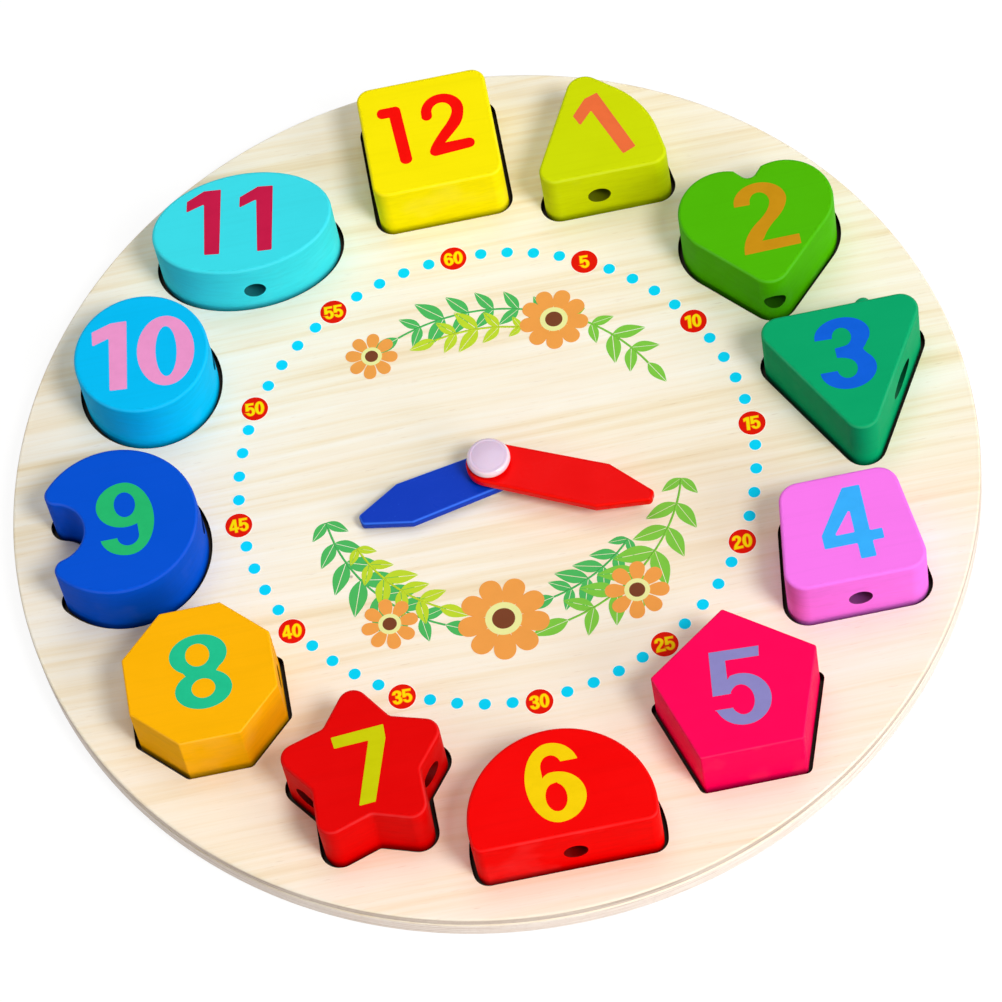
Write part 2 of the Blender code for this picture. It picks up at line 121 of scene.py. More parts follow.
# Angles in degrees, the largest reach of a fillet on a side, and a distance that is nothing
SHARP_DEGREES = 38.0
FILLET_REACH_SHARE = 0.48
MERGE_DISTANCE = 1e-7

Block = namedtuple("Block", "name hour share_x share_y outline edge bore_axis bore_shift paint ink")
Pose = namedtuple("Pose", "length shoulder width degrees")


# Outlines, in millimetres


def arc(centre, radius, start, end, steps=ARC_STEPS):
    """Points along a round arc, both ends included. Angles are in degrees."""
    return oval_arc(centre, (radius, radius), start, end, steps)


def oval_arc(centre, radii, start, end, steps=ARC_STEPS, lean=0.0):
    """Points along part of an oval that leans to the right by some degrees."""
    points = []
    tilt = math.radians(-lean)
    for i in range(steps + 1):
        angle = math.radians(start + (end - start) * i / steps)
        x = radii[0] * math.cos(angle)
        y = radii[1] * math.sin(angle)
        turned_x = x * math.cos(tilt) - y * math.sin(tilt)
        turned_y = x * math.sin(tilt) + y * math.cos(tilt)
        points.append((centre[0] + turned_x, centre[1] + turned_y))
    return points


def swoop(start, control, end, steps=10):
    """A curved stroke side from start to end that leans towards its control point."""
    points = []
    for i in range(steps + 1):
        t = i / steps
        keep = (1 - t) * (1 - t)
        pull = 2 * t * (1 - t)
        x = keep * start[0] + pull * control[0] + t * t * end[0]
        y = keep * start[1] + pull * control[1] + t * t * end[1]
        points.append((x, y))
    return points


def rounded(corners, radii, steps=CORNER_STEPS):
    """A polygon with each corner turned into an arc of its own radius. Zero keeps the corner."""
    if isinstance(radii, (int, float)):
        radii = [radii] * len(corners)
    points = []
    count = len(corners)
    for i, radius in enumerate(radii):
        corner = Vector(corners[i])
        if radius == 0:
            points.append(tuple(corner))
            continue
        before = Vector(corners[i - 1]) - corner
        after = Vector(corners[(i + 1) % count]) - corner
        half = before.angle(after) / 2
        longest = FILLET_REACH_SHARE * min(before.length, after.length)
        reach = min(radius / math.tan(half), longest)
        radius = reach * math.tan(half)
        inward = (before.normalized() + after.normalized()).normalized()
        centre = corner + inward * math.hypot(radius, reach)
        first = corner + before.normalized() * reach - centre
        last = corner + after.normalized() * reach - centre
        start = math.degrees(math.atan2(first.y, first.x))
        turn = (math.degrees(math.atan2(last.y, last.x)) - start + 180) % 360 - 180
        points += arc(centre, radius, start, start + turn, steps)
    return points


def grown(outline, distance):
    """A counter-clockwise outline moved outwards by a distance, with mitred corners."""
    points = []
    count = len(outline)
    for i in range(count):
        point = Vector(outline[i])
        along_before = (point - Vector(outline[i - 1])).normalized()
        along_after = (Vector(outline[(i + 1) % count]) - point).normalized()
        normal_before = Vector((along_before.y, -along_before.x))
        normal_after = Vector((along_after.y, -along_after.x))
        mitre = (normal_before + normal_after) / (1 + normal_before.dot(normal_after))
        points.append(tuple(point + mitre * distance))
    return points


def without_doubles(points, least=0.004):
    """The closed outline without points that lie on the one before."""
    kept = []
    for point in points:
        if not kept or math.dist(kept[-1], point) > least:
            kept.append(point)
    if math.dist(kept[0], kept[-1]) <= least:
        kept.pop()
    return kept


def counter_clockwise(points):
    """The outline, reversed if it runs clockwise."""
    doubled_area = 0
    for (ax, ay), (bx, by) in zip(points, points[1:] + points[:1]):
        doubled_area += ax * by - bx * ay
    return points if doubled_area > 0 else points[::-1]


def mirrored(points):
    """The points mirrored left to right, in reverse order."""
    return [(-x, y) for x, y in reversed(points)]


def square():
    half = 15.6
    return rounded([(-half, -half), (half, -half), (half, half), (-half, half)], 3.4)


def quadrant():
    """The origin is the sharp lower left corner. The right side is one wide arc."""
    width = 33.3
    height = 31.2
    corners = [(0, 0), (width, 0), (width * 0.914, height * 0.590), (width * 0.456, height)]
    return rounded(corners, [3.7, 3.7, 22.6, 4.4], 2 * CORNER_STEPS)


def heart():
    """Two lobes, a rounded tip whose sides touch the lobes, and a notch between the lobes."""
    spread = 6.95
    drop = 24.0
    lobe_radius = 11.4
    to_tip = math.hypot(spread, drop)
    towards_tip = math.degrees(math.atan2(-drop, -spread))
    touch = towards_tip + math.degrees(math.acos(lobe_radius / to_tip))
    lobe = arc((spread, 0), lobe_radius, touch, 109.0)
    corners = [(0, -drop)] + lobe + [(0, 7.0)] + mirrored(lobe)
    radii = [0] * len(corners)
    radii[0] = 5.0
    radii[len(lobe) + 1] = 2.2
    return rounded(corners, radii)


def triangle():
    return rounded([(-21.35, 19.0), (0, -19.0), (21.35, 19.0)], 4.2)


def trapezoid():
    return rounded([(-16.85, -13.8), (16.85, -13.8), (13.2, 13.8), (-13.2, 13.8)], 4.8)


def pentagon():
    return rounded(arc((0, 0), 19.8, 90, 450, 5)[:-1], 0.7, 5)


def half_round():
    """The origin is the centre of the wide arc, which runs into the rounded lower corners."""
    radius = 21.2
    corner = 2.5
    corner_y = corner - 5.4
    corner_x = math.sqrt((radius - corner) ** 2 - corner_y**2)
    meeting = math.degrees(math.atan2(corner_y, corner_x))
    right = arc((corner_x, corner_y), corner, -90, meeting, CORNER_STEPS)
    crown = arc((0, 0), radius, meeting, 180 - meeting, 2 * ARC_STEPS)
    return right[:-1] + crown + mirrored(right)[1:]


def star():
    tips = arc((0, 0), 21.3, 90, 450, 5)[:-1]
    inner = arc((0, 0), 12.95, 126, 486, 5)[:-1]
    corners = [corner for pair in zip(tips, inner) for corner in pair]
    return rounded(corners, [3.5, 2.0] * 5)


def octagon():
    return rounded(arc((0, 0), 18.4, 22.5, 382.5, 8)[:-1], 0.7, 5)


def notched_disc():
    """The notch is an arc, joined to the disc's rim by two smaller arcs at its mouth."""
    rim = 19.0
    notch_radius = 7.5
    mouth_round = 2.8
    notch_x = 11.4 - rim - notch_radius
    to_rim = rim - mouth_round
    to_notch = notch_radius + mouth_round
    mouth_x = (to_rim**2 - to_notch**2 + notch_x**2) / (2 * notch_x)
    mouth_y = math.sqrt(to_rim**2 - mouth_x**2)
    leaving = math.degrees(math.atan2(mouth_y, mouth_x))
    entering = math.degrees(math.atan2(mouth_y, mouth_x - notch_x))
    round_rim = arc((0, 0), rim, -leaving, leaving, 2 * ARC_STEPS)
    upper = arc((mouth_x, mouth_y), mouth_round, leaving, entering + 180, CORNER_STEPS)
    notch = arc((notch_x, 0), notch_radius, entering, -entering, ARC_STEPS // 2)
    lower = [(x, -y) for x, y in reversed(upper)]
    return round_rim + upper[1:] + notch[1:] + lower[1:-1]


def disc():
    return arc((0, 0), 15.9, 0, 360, 2 * ARC_STEPS)[:-1]


def oval():
    return oval_arc((0, 0), (21.55, 13.85), 0, 360, 2 * ARC_STEPS)[:-1]


def hand_outline(pose):
    """A pencil shape along +Y with a round tail about the pin and a blunt tip."""
    tail = pose.width / 2 - 0.4
    half = pose.width / 2
    blade = [(tail, 0), (half, pose.shoulder), (1.3, pose.length)]
    blade += [(-1.3, pose.length), (-half, pose.shoulder), (-tail, 0)]
    return arc((0, 0), tail, 180, 360)[1:-1] + rounded(blade, [0, 1.0, 1.0, 1.0, 1.0, 0])


# Numerals, in millimetres from the middle of their block. A digit is its outline and its holes.


def slim_one():
    corners = [(-11.35, 9.45), (-11.35, 6.6), (-8.55, 6.6), (-7.85, -7.35), (-4.95, -7.35), (-5.7, 9.45)]
    return [rounded(corners, [1.3, 1.3, 0.2, 1.4, 1.4, 1.3])]


def slim_two():
    outline = arc((0.25, 4.95), 1.3, 0, -180, 12)
    outline += oval_arc((4.1, 5.6), (5.1, 4.9), 187, -14)
    outline += swoop((9.0, 4.0), (8.5, 1.4), (6.4, -0.5)) + [(3.4, -3.5), (8.9, -3.45)]
    outline += arc((8.9, -4.85), 1.4, 85, -85, 12)
    outline += arc((0.8, -5.4), 1.4, -92, -190, 12)
    outline += swoop((-0.1, -4.0), (1.2, -2.0), (3.2, 0.3)) + swoop((3.2, 0.3), (5.7, 2.9), (6.3, 4.9))
    outline += oval_arc((3.95, 5.6), (2.4, 2.4), 0, 186)
    return [outline]


def leaning_one():
    corners = [(12.9, 18.5), (14.15, 15.5), (17.35, 19.1), (22.65, 5.3), (25.9, 6.7), (19.6, 23.8), (16.4, 22.7)]
    return [rounded(corners, 0.25)]


def heavy_two():
    outline = [(-5.0, 0.4), (-1.3, 0.3)]
    outline += oval_arc((1.05, 0.7), (2.3, 2.6), 180, -8)
    outline += swoop((3.3, 0.2), (2.9, -1.9), (0.4, -4.1)) + swoop((0.4, -4.1), (-4.9, -8.0), (-5.0, -13.1))
    outline += [(8.4, -12.8), (8.4, -10.05), (-0.35, -10.1)]
    outline += swoop((0.3, -9.3), (1.4, -7.2), (3.6, -5.2)) + swoop((3.6, -5.2), (7.0, -2.4), (7.4, 0.6))
    outline += oval_arc((1.2, 0.8), (6.2, 5.2), 4, 176)
    return [outline]


def heavy_three():
    outline = [(-6.9, 10.4)]
    outline += oval_arc((-0.5, 10.6), (6.4, 4.8), 180, -34)
    outline += swoop((4.6, 7.6), (4.2, 6.9), (3.5, 6.15))
    outline += swoop((3.5, 6.15), (3.8, 5.2), (4.5, 4.4))[1:]
    outline += oval_arc((-0.8, 1.4), (6.5, 5.2), 34, -178)
    outline += [(-7.3, 1.6), (-3.35, 1.5)]
    outline += oval_arc((-1.0, 1.7), (2.35, 2.6), 184, 425)
    outline += swoop((-0.05, 4.1), (-0.8, 4.5), (-1.9, 4.8))
    outline += [(-2.8, 4.9), (-2.8, 7.5), (-1.0, 7.65)]
    outline += oval_arc((-0.7, 10.2), (2.2, 2.5), -84, 180)
    return [outline]


def heavy_four():
    corners = [(0.4, 10.4), (-6.45, -0.8), (-6.45, -4.3), (1.05, -4.3), (1.05, -8.4), (4.6, -8.4)]
    corners += [(4.5, -4.3), (7.2, -4.3), (7.2, -1.65), (4.4, -1.65), (4.4, 10.4)]
    hole = [(0.95, 4.8), (0.95, -1.4), (-3.6, -1.4)]
    return [rounded(corners, 0.35), rounded(hole, 0.3)]


def heavy_five():
    outline = [(-5.0, 9.6), (-6.1, -1.35), (-2.0, -1.5)]
    outline += oval_arc((0.2, -3.4), (2.7, 3.75), 145, -155)
    outline += [(-2.85, -5.0), (-6.3, -4.85)]
    outline += oval_arc((0.3, -3.3), (6.4, 6.4), -163, 106)
    outline += [(-2.15, 2.05), (-1.75, 6.9), (5.8, 6.5), (6.2, 9.0)]
    return [outline]


def heavy_six():
    outline = oval_arc((-0.4, 11.3), (6.1, 6.3), 12, 90)
    outline += oval_arc((-0.4, 7.8), (6.5, 9.8), 90, 270)[1:]
    outline += oval_arc((-0.4, 4.2), (6.5, 6.2), -90, 98)[1:]
    outline += swoop((-1.4, 10.3), (-2.2, 10.05), (-2.85, 9.3))
    outline += oval_arc((-0.5, 11.6), (2.4, 3.0), 190, 20)
    hole = oval_arc((-0.55, 4.2), (2.4, 3.5), 105, 428)
    return [outline, hole + [(0.1, 7.8)]]


def heavy_seven():
    corners = [(-6.1, 7.6), (-5.75, 4.75), (2.05, 5.15), (-2.4, -10.4), (1.35, -10.1), (5.9, 5.0), (5.9, 8.45)]
    return [rounded(corners, 0.25)]


def heavy_eight():
    outline = oval_arc((0.3, 4.6), (6.6, 5.1), -48, 233)
    outline += [(-3.2, -0.25)]
    outline += oval_arc((0.4, -4.4), (6.5, 4.9), 122, 417)
    outline += [(3.9, -0.15)]
    upper = oval_arc((0.15, 4.5), (2.75, 2.9), 0, 360)
    lower = oval_arc((0.4, -4.1), (2.7, 2.45), 0, 360)
    return [outline, upper, lower]


def heavy_nine():
    outline = oval_arc((2.4, 3.6), (6.5, 5.9), 90, 292)
    outline += [(4.85, -1.4)]
    outline += oval_arc((2.35, -4.6), (2.55, 2.6), 0, -178)
    outline += [(-0.4, -4.75), (-4.05, -4.75)]
    outline += oval_arc((2.4, -4.0), (6.5, 5.7), 187, 270)
    outline += oval_arc((2.4, -0.1), (6.5, 9.6), -90, 90)[1:-1]
    hole = oval_arc((2.55, 3.6), (2.45, 3.3), 0, 360)
    return [outline, hole]


def heavy_ten():
    one = [(-10.65, 8.5), (-11.0, 4.7), (-6.9, 6.05), (-8.5, -8.2), (-4.45, -8.6), (-2.2, 9.8), (-6.0, 10.0)]
    outline = oval_arc((5.8, -0.3), (6.75, 9.5), 0, 360, lean=5)
    hole = oval_arc((5.9, -0.5), (2.5, 6.85), 0, 360, lean=6)
    return [rounded(one, 0.3)], [outline, hole]


def heavy_eleven():
    first = [(-12.3, 9.1), (-12.85, 6.15), (-8.4, 7.5), (-10.3, -6.6), (-6.75, -7.15), (-3.85, 10.7), (-7.9, 11.15)]
    second = [(0.25, 7.5), (-0.3, 4.6), (4.0, 6.0), (2.15, -8.45), (5.6, -8.8), (8.45, 8.95), (4.9, 9.5)]
    return [rounded(first, 0.25)], [rounded(second, 0.25)]


def set_over(digits, x, y):
    """The digits of a numeral moved on their block."""
    return tuple([[(px + x, py + y) for px, py in contour] for contour in digit] for digit in digits)


NUMERALS = {
    12: set_over((slim_one(), slim_two()), 0, -0.45),
    1: set_over((leaning_one(),), -0.1, -0.9),
    2: (heavy_two(),),
    3: set_over((heavy_three(),), 0.2, 0),
    4: set_over((heavy_four(),), 0.45, -0.45),
    5: set_over((heavy_five(),), 0, -0.2),
    6: (heavy_six(),),
    7: (heavy_seven(),),
    8: (heavy_eight(),),
    9: (heavy_nine(),),
    10: set_over(heavy_ten(), 0, -0.35),
    11: set_over(heavy_eleven(), 0.35, -0.55),
}

# The minute ring, in millimetres. The discs were printed from a screen of their own.
DOT_RING_CENTRE = (1.05, 1.05)
DOT_RING_RADIUS = 60.2
DISC_RING_CENTRE = (0.75, 0.65)
DISC_RING_RADIUS = 60.55
RING_PLACES = 60
DOT_RADIUS = 1.4
DISC_RADIUS = 3.15
UNDERCOAT_SPREAD = 0.18
RING_DIGIT_HEIGHT = 3.4
RING_DIGIT_WIDTH = 2.1
RING_ONE_WIDTH = 1.35
RING_DIGIT_GAP = 0.15
RING_DIGIT_EDGE = 0.16
RING_DIGIT_GROWTH = 0.02
RING_DIGITS = {
    "0": NUMERALS[10][1],
    "1": NUMERALS[10][0],
    "2": NUMERALS[2][0],
    "3": NUMERALS[3][0],
    "4": NUMERALS[4][0],
    "5": NUMERALS[5][0],
    "6": NUMERALS[6][0],
}

STEM_WIDTH = 0.5 * MM
LEAF_HALF_WIDTH_SHARE = 0.19
MIDRIB_HALF_WIDTH = 0.07 * MM
LEAF_LEAN_DEGREES = 48
# The pin's lilac, and the paler tone painted on its rim as a highlight
LILAC = ("DCC4DE", "F4DEEA")

# Sprigs: radius, start and sweep in degrees, leaf pairs, leaf length and which of the greens.
# Daisies: distance and direction from the ring's middle, radius and count of petals.
GARLAND_SPRIGS = (
    (41.0, 186, 58, 7, 8.6, 0),
    (37.0, 200, 40, 5, 7.2, 2),
    (43.0, 345, -62, 7, 9.0, 1),
    (36.0, 318, -36, 5, 7.4, 0),
    (44.5, 66, 46, 6, 7.6, 0),
    (39.5, 72, 30, 4, 6.4, 2),
    (45.0, 58, -30, 4, 6.8, 1),
)
GARLAND_DAISIES = (
    (38.5, 263, 10.6, 9),
    (45.5, 228, 6.6, 8),
    (46.0, 305, 7.4, 8),
    (43.0, 62, 8.2, 9),
    (44.5, 122, 6.2, 8),
)

HOUR_POSE = Pose(32.4, 21.4, 11.4, 258.7)
MINUTE_POSE = Pose(39.2, 27.2, 11.7, 116.0)

BLOCKS = (
    Block("block_12_square", 12, 0.008, 0.781, square(), BLOCK_EDGE_ROUND, "X", 0, "FFEE00", "FF0800"),
    Block("block_1_quadrant", 1, 0.199, 0.591, quadrant(), BLOCK_EDGE_ROUND, "Y", 15.3, "CFDE00", "F0703C"),
    Block("block_2_heart", 2, 0.645, 0.439, heart(), BLOCK_EDGE_ROUND, "Y", 0, "4EB800", "C98F10"),
    Block("block_3_triangle", 3, 0.759, -0.007, triangle(), BLOCK_EDGE_ROUND, "Y", 11.53, "04A468", "0A60DC"),
    Block("block_4_trapezoid", 4, 0.677, -0.352, trapezoid(), BLOCK_EDGE_ROUND, "Y", 0, "F878EE", "38B0FF"),
    Block("block_5_pentagon", 5, 0.398, -0.655, pentagon(), CRISP_EDGE_ROUND, "X", 11.3, "FF0058", "8C86C4"),
    Block("block_6_half_round", 6, 0.010, -0.855, half_round(), BLOCK_EDGE_ROUND, "Y", 1.3, "F60000", "F8D000"),
    Block("block_7_star", 7, -0.356, -0.660, star(), BLOCK_EDGE_ROUND, "X", -1.7, "E40000", "CCCC00"),
    Block("block_8_octagon", 8, -0.647, -0.390, octagon(), CRISP_EDGE_ROUND, "X", 0, "FFB600", "20C490"),
    Block("block_9_notched_disc", 9, -0.768, -0.005, notched_disc(), BLOCK_EDGE_ROUND, "X", 0, "0052D6", "24BC70"),
    Block("block_10_disc", 10, -0.665, 0.379, disc(), BLOCK_EDGE_ROUND, "X", 0, "00C0FA", "F098D0"),
    Block("block_11_oval", 11, -0.414, 0.650, oval(), BLOCK_EDGE_ROUND, "Y", 0, "3CE0EE", "C81848"),
)


# Materials


def colour(code, shade=1.0):
    """A hex colour as the linear values that a node takes, darker or lighter by a shade."""
    values = []
    for i in (0, 2, 4):
        value = int(code[i : i + 2], 16) / 255
        linear = value / 12.92 if value <= 0.04045 else ((value + 0.055) / 1.055) ** 2.4
        values.append(min(1.0, linear * shade))
    return (*values, 1.0)


def put(tree, kind, sockets=None, **settings):
    """A node with its settings. Each socket gets a value, or a link from another socket."""
    node = tree.nodes.new(kind)
    for name, value in settings.items():
        setattr(node, name, value)
    for name, value in (sockets or {}).items():
        if isinstance(value, bpy.types.NodeSocket):
            tree.links.new(value, node.inputs[name])
        else:
            node.inputs[name].default_value = value
    return node


def blended(tree, factor, first, second, blend="MIX"):
    """The mix of two colours."""
    sockets = {0: factor, 6: first, 7: second}
    return put(tree, "ShaderNodeMix", sockets, data_type="RGBA", blend_type=blend).outputs[2]


def figured(tree, operation, first, second=0.0):
    """The result of a sum on two values."""
    return put(tree, "ShaderNodeMath", {0: first, 1: second}, operation=operation).outputs[0]


def times(tree, first, second):
    """The product of two values."""
    return figured(tree, "MULTIPLY", first, second)


def plus(tree, first, second):
    """One value added to another."""
    return figured(tree, "ADD", first, second)


def ranged(tree, value, low, high, out_low=0.0, out_high=1.0):
    """A value moved from one range to another, and kept inside it."""
    sockets = {"Value": value, "From Min": low, "From Max": high, "To Min": out_low, "To Max": out_high}
    return put(tree, "ShaderNodeMapRange", sockets).outputs["Result"]


def stretched_noise(tree, place, stretch, detail=3.0, roughness=0.55, distortion=0.0, shift=(0, 0, 0)):
    """Noise whose grain is longer along the axes with the smaller stretch, in cells per metre."""
    mapping = put(tree, "ShaderNodeMapping", {"Vector": place, "Location": shift, "Scale": stretch})
    sockets = {"Vector": mapping.outputs[0], "Scale": 1.0, "Detail": detail, "Roughness": roughness}
    sockets["Distortion"] = distortion
    return put(tree, "ShaderNodeTexNoise", sockets).outputs[0]


def colour_ramp(tree, value, stops):
    """Colours along a value, as pairs of a place and a colour."""
    ramp = put(tree, "ShaderNodeValToRGB", {0: value})
    band = ramp.color_ramp
    while len(band.elements) < len(stops):
        band.elements.new(0.5)
    for element, (place, shade) in zip(band.elements, stops):
        element.position = place
        element.color = shade
    return ramp.outputs[0]


def raised(tree, height, distance, strength=1.0, normal=None):
    """A bump from a height in the range zero to one, that deep in metres."""
    sockets = {"Height": height, "Distance": distance, "Strength": strength}
    if normal is not None:
        sockets["Normal"] = normal
    return put(tree, "ShaderNodeBump", sockets).outputs[0]


def new_material(name):
    """An empty material, its tree and the object's own coordinates."""
    material = bpy.data.materials.new(name)
    material.use_nodes = True
    tree = material.node_tree
    tree.nodes.clear()
    return material, tree, put(tree, "ShaderNodeTexCoord").outputs["Object"]


def surfaced(tree, base, roughness, normal=None, **uniform):
    """The shader of a solid finish. Values that are the same all over go on its own sockets."""
    sockets = {"Base Color": base, "Roughness": roughness}
    if normal is not None:
        sockets["Normal"] = normal
    shader = put(tree, "ShaderNodeBsdfPrincipled", sockets)
    for name, value in uniform.items():
        shader.inputs[name.replace("_", " ")].default_value = value
    put(tree, "ShaderNodeOutputMaterial", {"Surface": shader.outputs[0]})
    return shader


def upward(tree):
    """How far the surface faces up or down, from zero on a side to one on a top."""
    normal = put(tree, "ShaderNodeNewGeometry").outputs["Normal"]
    parts = put(tree, "ShaderNodeSeparateXYZ", {0: normal})
    return figured(tree, "ABSOLUTE", parts.outputs["Z"])


def knotted(tree, place, base, knots):
    """The wood with small grey pin knots, each given by its place and radius in metres."""
    for x, y, radius in knots:
        reach = put(tree, "ShaderNodeVectorMath", {0: place, 1: (x, y, FACE_TOP)}, operation="DISTANCE")
        spot = ranged(tree, reach.outputs["Value"], 0.5 * radius, 1.3 * radius, 0.75, 0.0)
        base = blended(tree, spot, base, colour("A89C8A"))
    return base


def birch(name, shift, rim_tones, knots=()):
    """Pale lacquered birch: grain along X, darker streaks, fine pores, and plies on the rim.

    Where the mesh marks the recess gaps, the wood is painted near-black brown as shade.
    """
    material, tree, place = new_material(name)
    drift = stretched_noise(tree, place, (5, 12, 5), 2.0, 0.5, shift=shift)
    sway = times(tree, figured(tree, "SUBTRACT", drift, 0.5), 0.010)
    sway_vector = put(tree, "ShaderNodeCombineXYZ", {"Y": sway}).outputs[0]
    swayed = put(tree, "ShaderNodeVectorMath", {0: place, 1: sway_vector}, operation="ADD").outputs[0]
    bands = stretched_noise(tree, swayed, (5, 130, 40), 3.0, 0.5, 0.2, shift)
    lines = stretched_noise(tree, swayed, (14, 560, 120), 3.0, 0.6, 0.2, shift)
    fibres = stretched_noise(tree, swayed, (70, 2600, 400), 2.0, 0.5, 0.0, shift)
    mottle = stretched_noise(tree, place, (26, 40, 26), 3.0, 0.6, 0.0, shift)
    streaks = times(tree, bands, 0.5)
    streaks = plus(tree, streaks, times(tree, lines, 0.5))
    stops = [
        (0.38, colour("FEF9EB")),
        (0.50, colour("FCF3DE")),
        (0.58, colour("F8EACC")),
        (0.68, colour("EFDAB0")),
    ]
    top = colour_ramp(tree, streaks, stops)
    warmth = times(tree, ranged(tree, mottle, 0.45, 0.7), 0.30)
    height = put(tree, "ShaderNodeSeparateXYZ", {0: place}).outputs["Y"]
    warmth = plus(tree, warmth, ranged(tree, height, 0.0, -0.11, 0.0, 0.45))
    top = blended(tree, warmth, top, colour("F9E9D4"))
    fine = times(tree, ranged(tree, fibres, 0.5, 0.8), 0.12)
    top = blended(tree, fine, top, colour("DCC096"))
    pores = stretched_noise(tree, swayed, (260, 3800, 900), 1.0, 0.4, 0.0, shift)
    pore_spots = times(tree, ranged(tree, pores, 0.72, 0.80), 0.22)
    top = blended(tree, pore_spots, top, colour("B98F5C"))
    top = knotted(tree, place, top, knots)

    layers = stretched_noise(tree, place, (26, 26, 1500), 2.0, 0.5, 0.0, shift)
    tones = [colour(code) for code in rim_tones]
    side = colour_ramp(tree, layers, list(zip((0.36, 0.52, 0.66), tones)))
    end_grain = stretched_noise(tree, place, (900, 900, 900), 2.0, 0.5, 0.0, shift)
    side = blended(tree, times(tree, ranged(tree, end_grain, 0.5, 0.8), 0.3), side, tones[2])
    facing = ranged(tree, upward(tree), 0.25, 0.75)
    base = blended(tree, facing, side, top)
    gap_shade = put(tree, "ShaderNodeAttribute", attribute_name="gap_shade").outputs["Fac"]
    # Painted shade: near-black brown in the recess gaps, where the mesh marks them.
    base = blended(tree, gap_shade, base, colour("180803"))

    relief = plus(tree, times(tree, fibres, 0.6), times(tree, lines, 0.4))
    normal = raised(tree, relief, 0.00004, 0.5)
    gloss = ranged(tree, streaks, 0.35, 0.7, 0.42, 0.56)
    shader = surfaced(tree, base, gloss, normal)
    tree.links.new(ranged(tree, gap_shade, 0.0, 1.0, 0.22, 0.0), shader.inputs["Specular IOR Level"])
    return material


def singed_edge():
    """The walls of the cut-outs, browned by the cutting beam and darkened further as painted shade for the narrow
    gaps.
    """
    material, tree, place = new_material("singed_edge")
    gap_shade = stretched_noise(tree, place, (500, 500, 160), 3.0, 0.6)
    stops = [(0.3, colour("0C0402")), (0.6, colour("1E0E06")), (0.8, colour("38200F"))]
    base = colour_ramp(tree, gap_shade, stops)
    gloss = ranged(tree, gap_shade, 0.3, 0.8, 0.7, 0.9)
    surfaced(tree, base, gloss, raised(tree, gap_shade, 0.00008, 0.6), Specular_IOR_Level=0.02)
    return material


def block_paint(name, code, seed, depth=1.0):
    """Eggshell paint on wood: the grain shows faintly on top and more on the sawn sides."""
    material, tree, place = new_material(name)
    shift = (seed * 0.37, seed * 0.61, seed * 0.23)
    cloud = stretched_noise(tree, place, (60, 90, 60), 3.0, 0.6, 0.0, shift)
    grain = stretched_noise(tree, place, (22, 700, 260), 3.0, 0.6, 0.3, shift)
    side_grain = stretched_noise(tree, place, (160, 160, 900), 4.0, 0.65, 0.4, shift)
    facing = ranged(tree, upward(tree), 0.3, 0.9)
    # A depth under one darkens the whole paint, which the bores use as painted shade.
    dark = colour(code, 0.86 * depth)
    plain = colour(code, depth)
    pale = tuple(part + (1 - part) * 0.05 * depth for part in plain[:3]) + (1.0,)
    top = blended(tree, times(tree, ranged(tree, cloud, 0.42, 0.75), 0.22), plain, dark)
    top = blended(tree, times(tree, ranged(tree, grain, 0.52, 0.8), 0.30), top, dark)
    side = blended(tree, ranged(tree, side_grain, 0.40, 0.75, 0.0, 0.6), plain, colour(code, 0.84 * depth))
    side = blended(tree, times(tree, ranged(tree, cloud, 0.55, 0.8), 0.5), side, pale)
    base = blended(tree, facing, side, top)
    # The rounded rims are paled in patches: worn paint, and a faint painted highlight along them.
    rim = times(tree, ranged(tree, upward(tree), 0.25, 0.5), ranged(tree, upward(tree), 0.97, 0.8))
    wear_and_rim_highlight = times(tree, rim, ranged(tree, cloud, 0.35, 0.7, 0.15, 0.6))
    base = blended(tree, wear_and_rim_highlight, base, pale)
    height = blended(tree, facing, side_grain, grain)
    normal = raised(tree, height, 0.00006, 0.35)
    gloss = ranged(tree, cloud, 0.3, 0.75, 0.42, 0.58)
    shader = surfaced(tree, base, gloss, normal)
    tree.links.new(ranged(tree, facing, 0.0, 1.0, 0.012, 0.04), shader.inputs["Specular IOR Level"])
    return material


def ink(name, code, strength=0.10):
    """Screen ink: nearly flat, with small clouds where the wood drank it."""
    material, tree, place = new_material(name)
    cloud = stretched_noise(tree, place, (240, 320, 240), 3.0, 0.6)
    speck = stretched_noise(tree, place, (1600, 1600, 1600), 1.0, 0.5)
    dark = colour(code, 0.84)
    base = blended(tree, times(tree, ranged(tree, cloud, 0.4, 0.75), strength * 4), colour(code), dark)
    base = blended(tree, times(tree, ranged(tree, speck, 0.66, 0.8), strength * 3), base, dark)
    gloss = ranged(tree, cloud, 0.3, 0.7, 0.45, 0.6)
    surfaced(tree, base, gloss, raised(tree, speck, 0.00001, 0.4), Specular_IOR_Level=0.05)
    return material


def hand_lacquer(name, code, highlight_code):
    """Glossy lacquer with the softest orange peel, and a painted highlight along its rounded edges."""
    material, tree, place = new_material(name)
    cloud = stretched_noise(tree, place, (90, 120, 90), 3.0, 0.55)
    peel = stretched_noise(tree, place, (700, 700, 700), 2.0, 0.5)
    dust = stretched_noise(tree, place, (2400, 2400, 2400), 1.0, 0.5)
    plain = colour(code)
    highlight_tone = colour(highlight_code)
    base = blended(tree, times(tree, ranged(tree, cloud, 0.4, 0.75), 0.3), plain, colour(code, 0.86))
    # Painted highlight: the rounded edges blend towards the paler highlight tone.
    rim = times(tree, ranged(tree, upward(tree), 0.2, 0.6), ranged(tree, upward(tree), 0.98, 0.8))
    base = blended(tree, times(tree, rim, 0.8), base, highlight_tone)
    base = blended(tree, times(tree, ranged(tree, dust, 0.72, 0.82), 0.25), base, highlight_tone)
    surfaced(
        tree,
        base,
        ranged(tree, cloud, 0.3, 0.75, 0.24, 0.36),
        raised(tree, peel, 0.00003, 0.4),
        Specular_IOR_Level=0.06,
    )
    return material


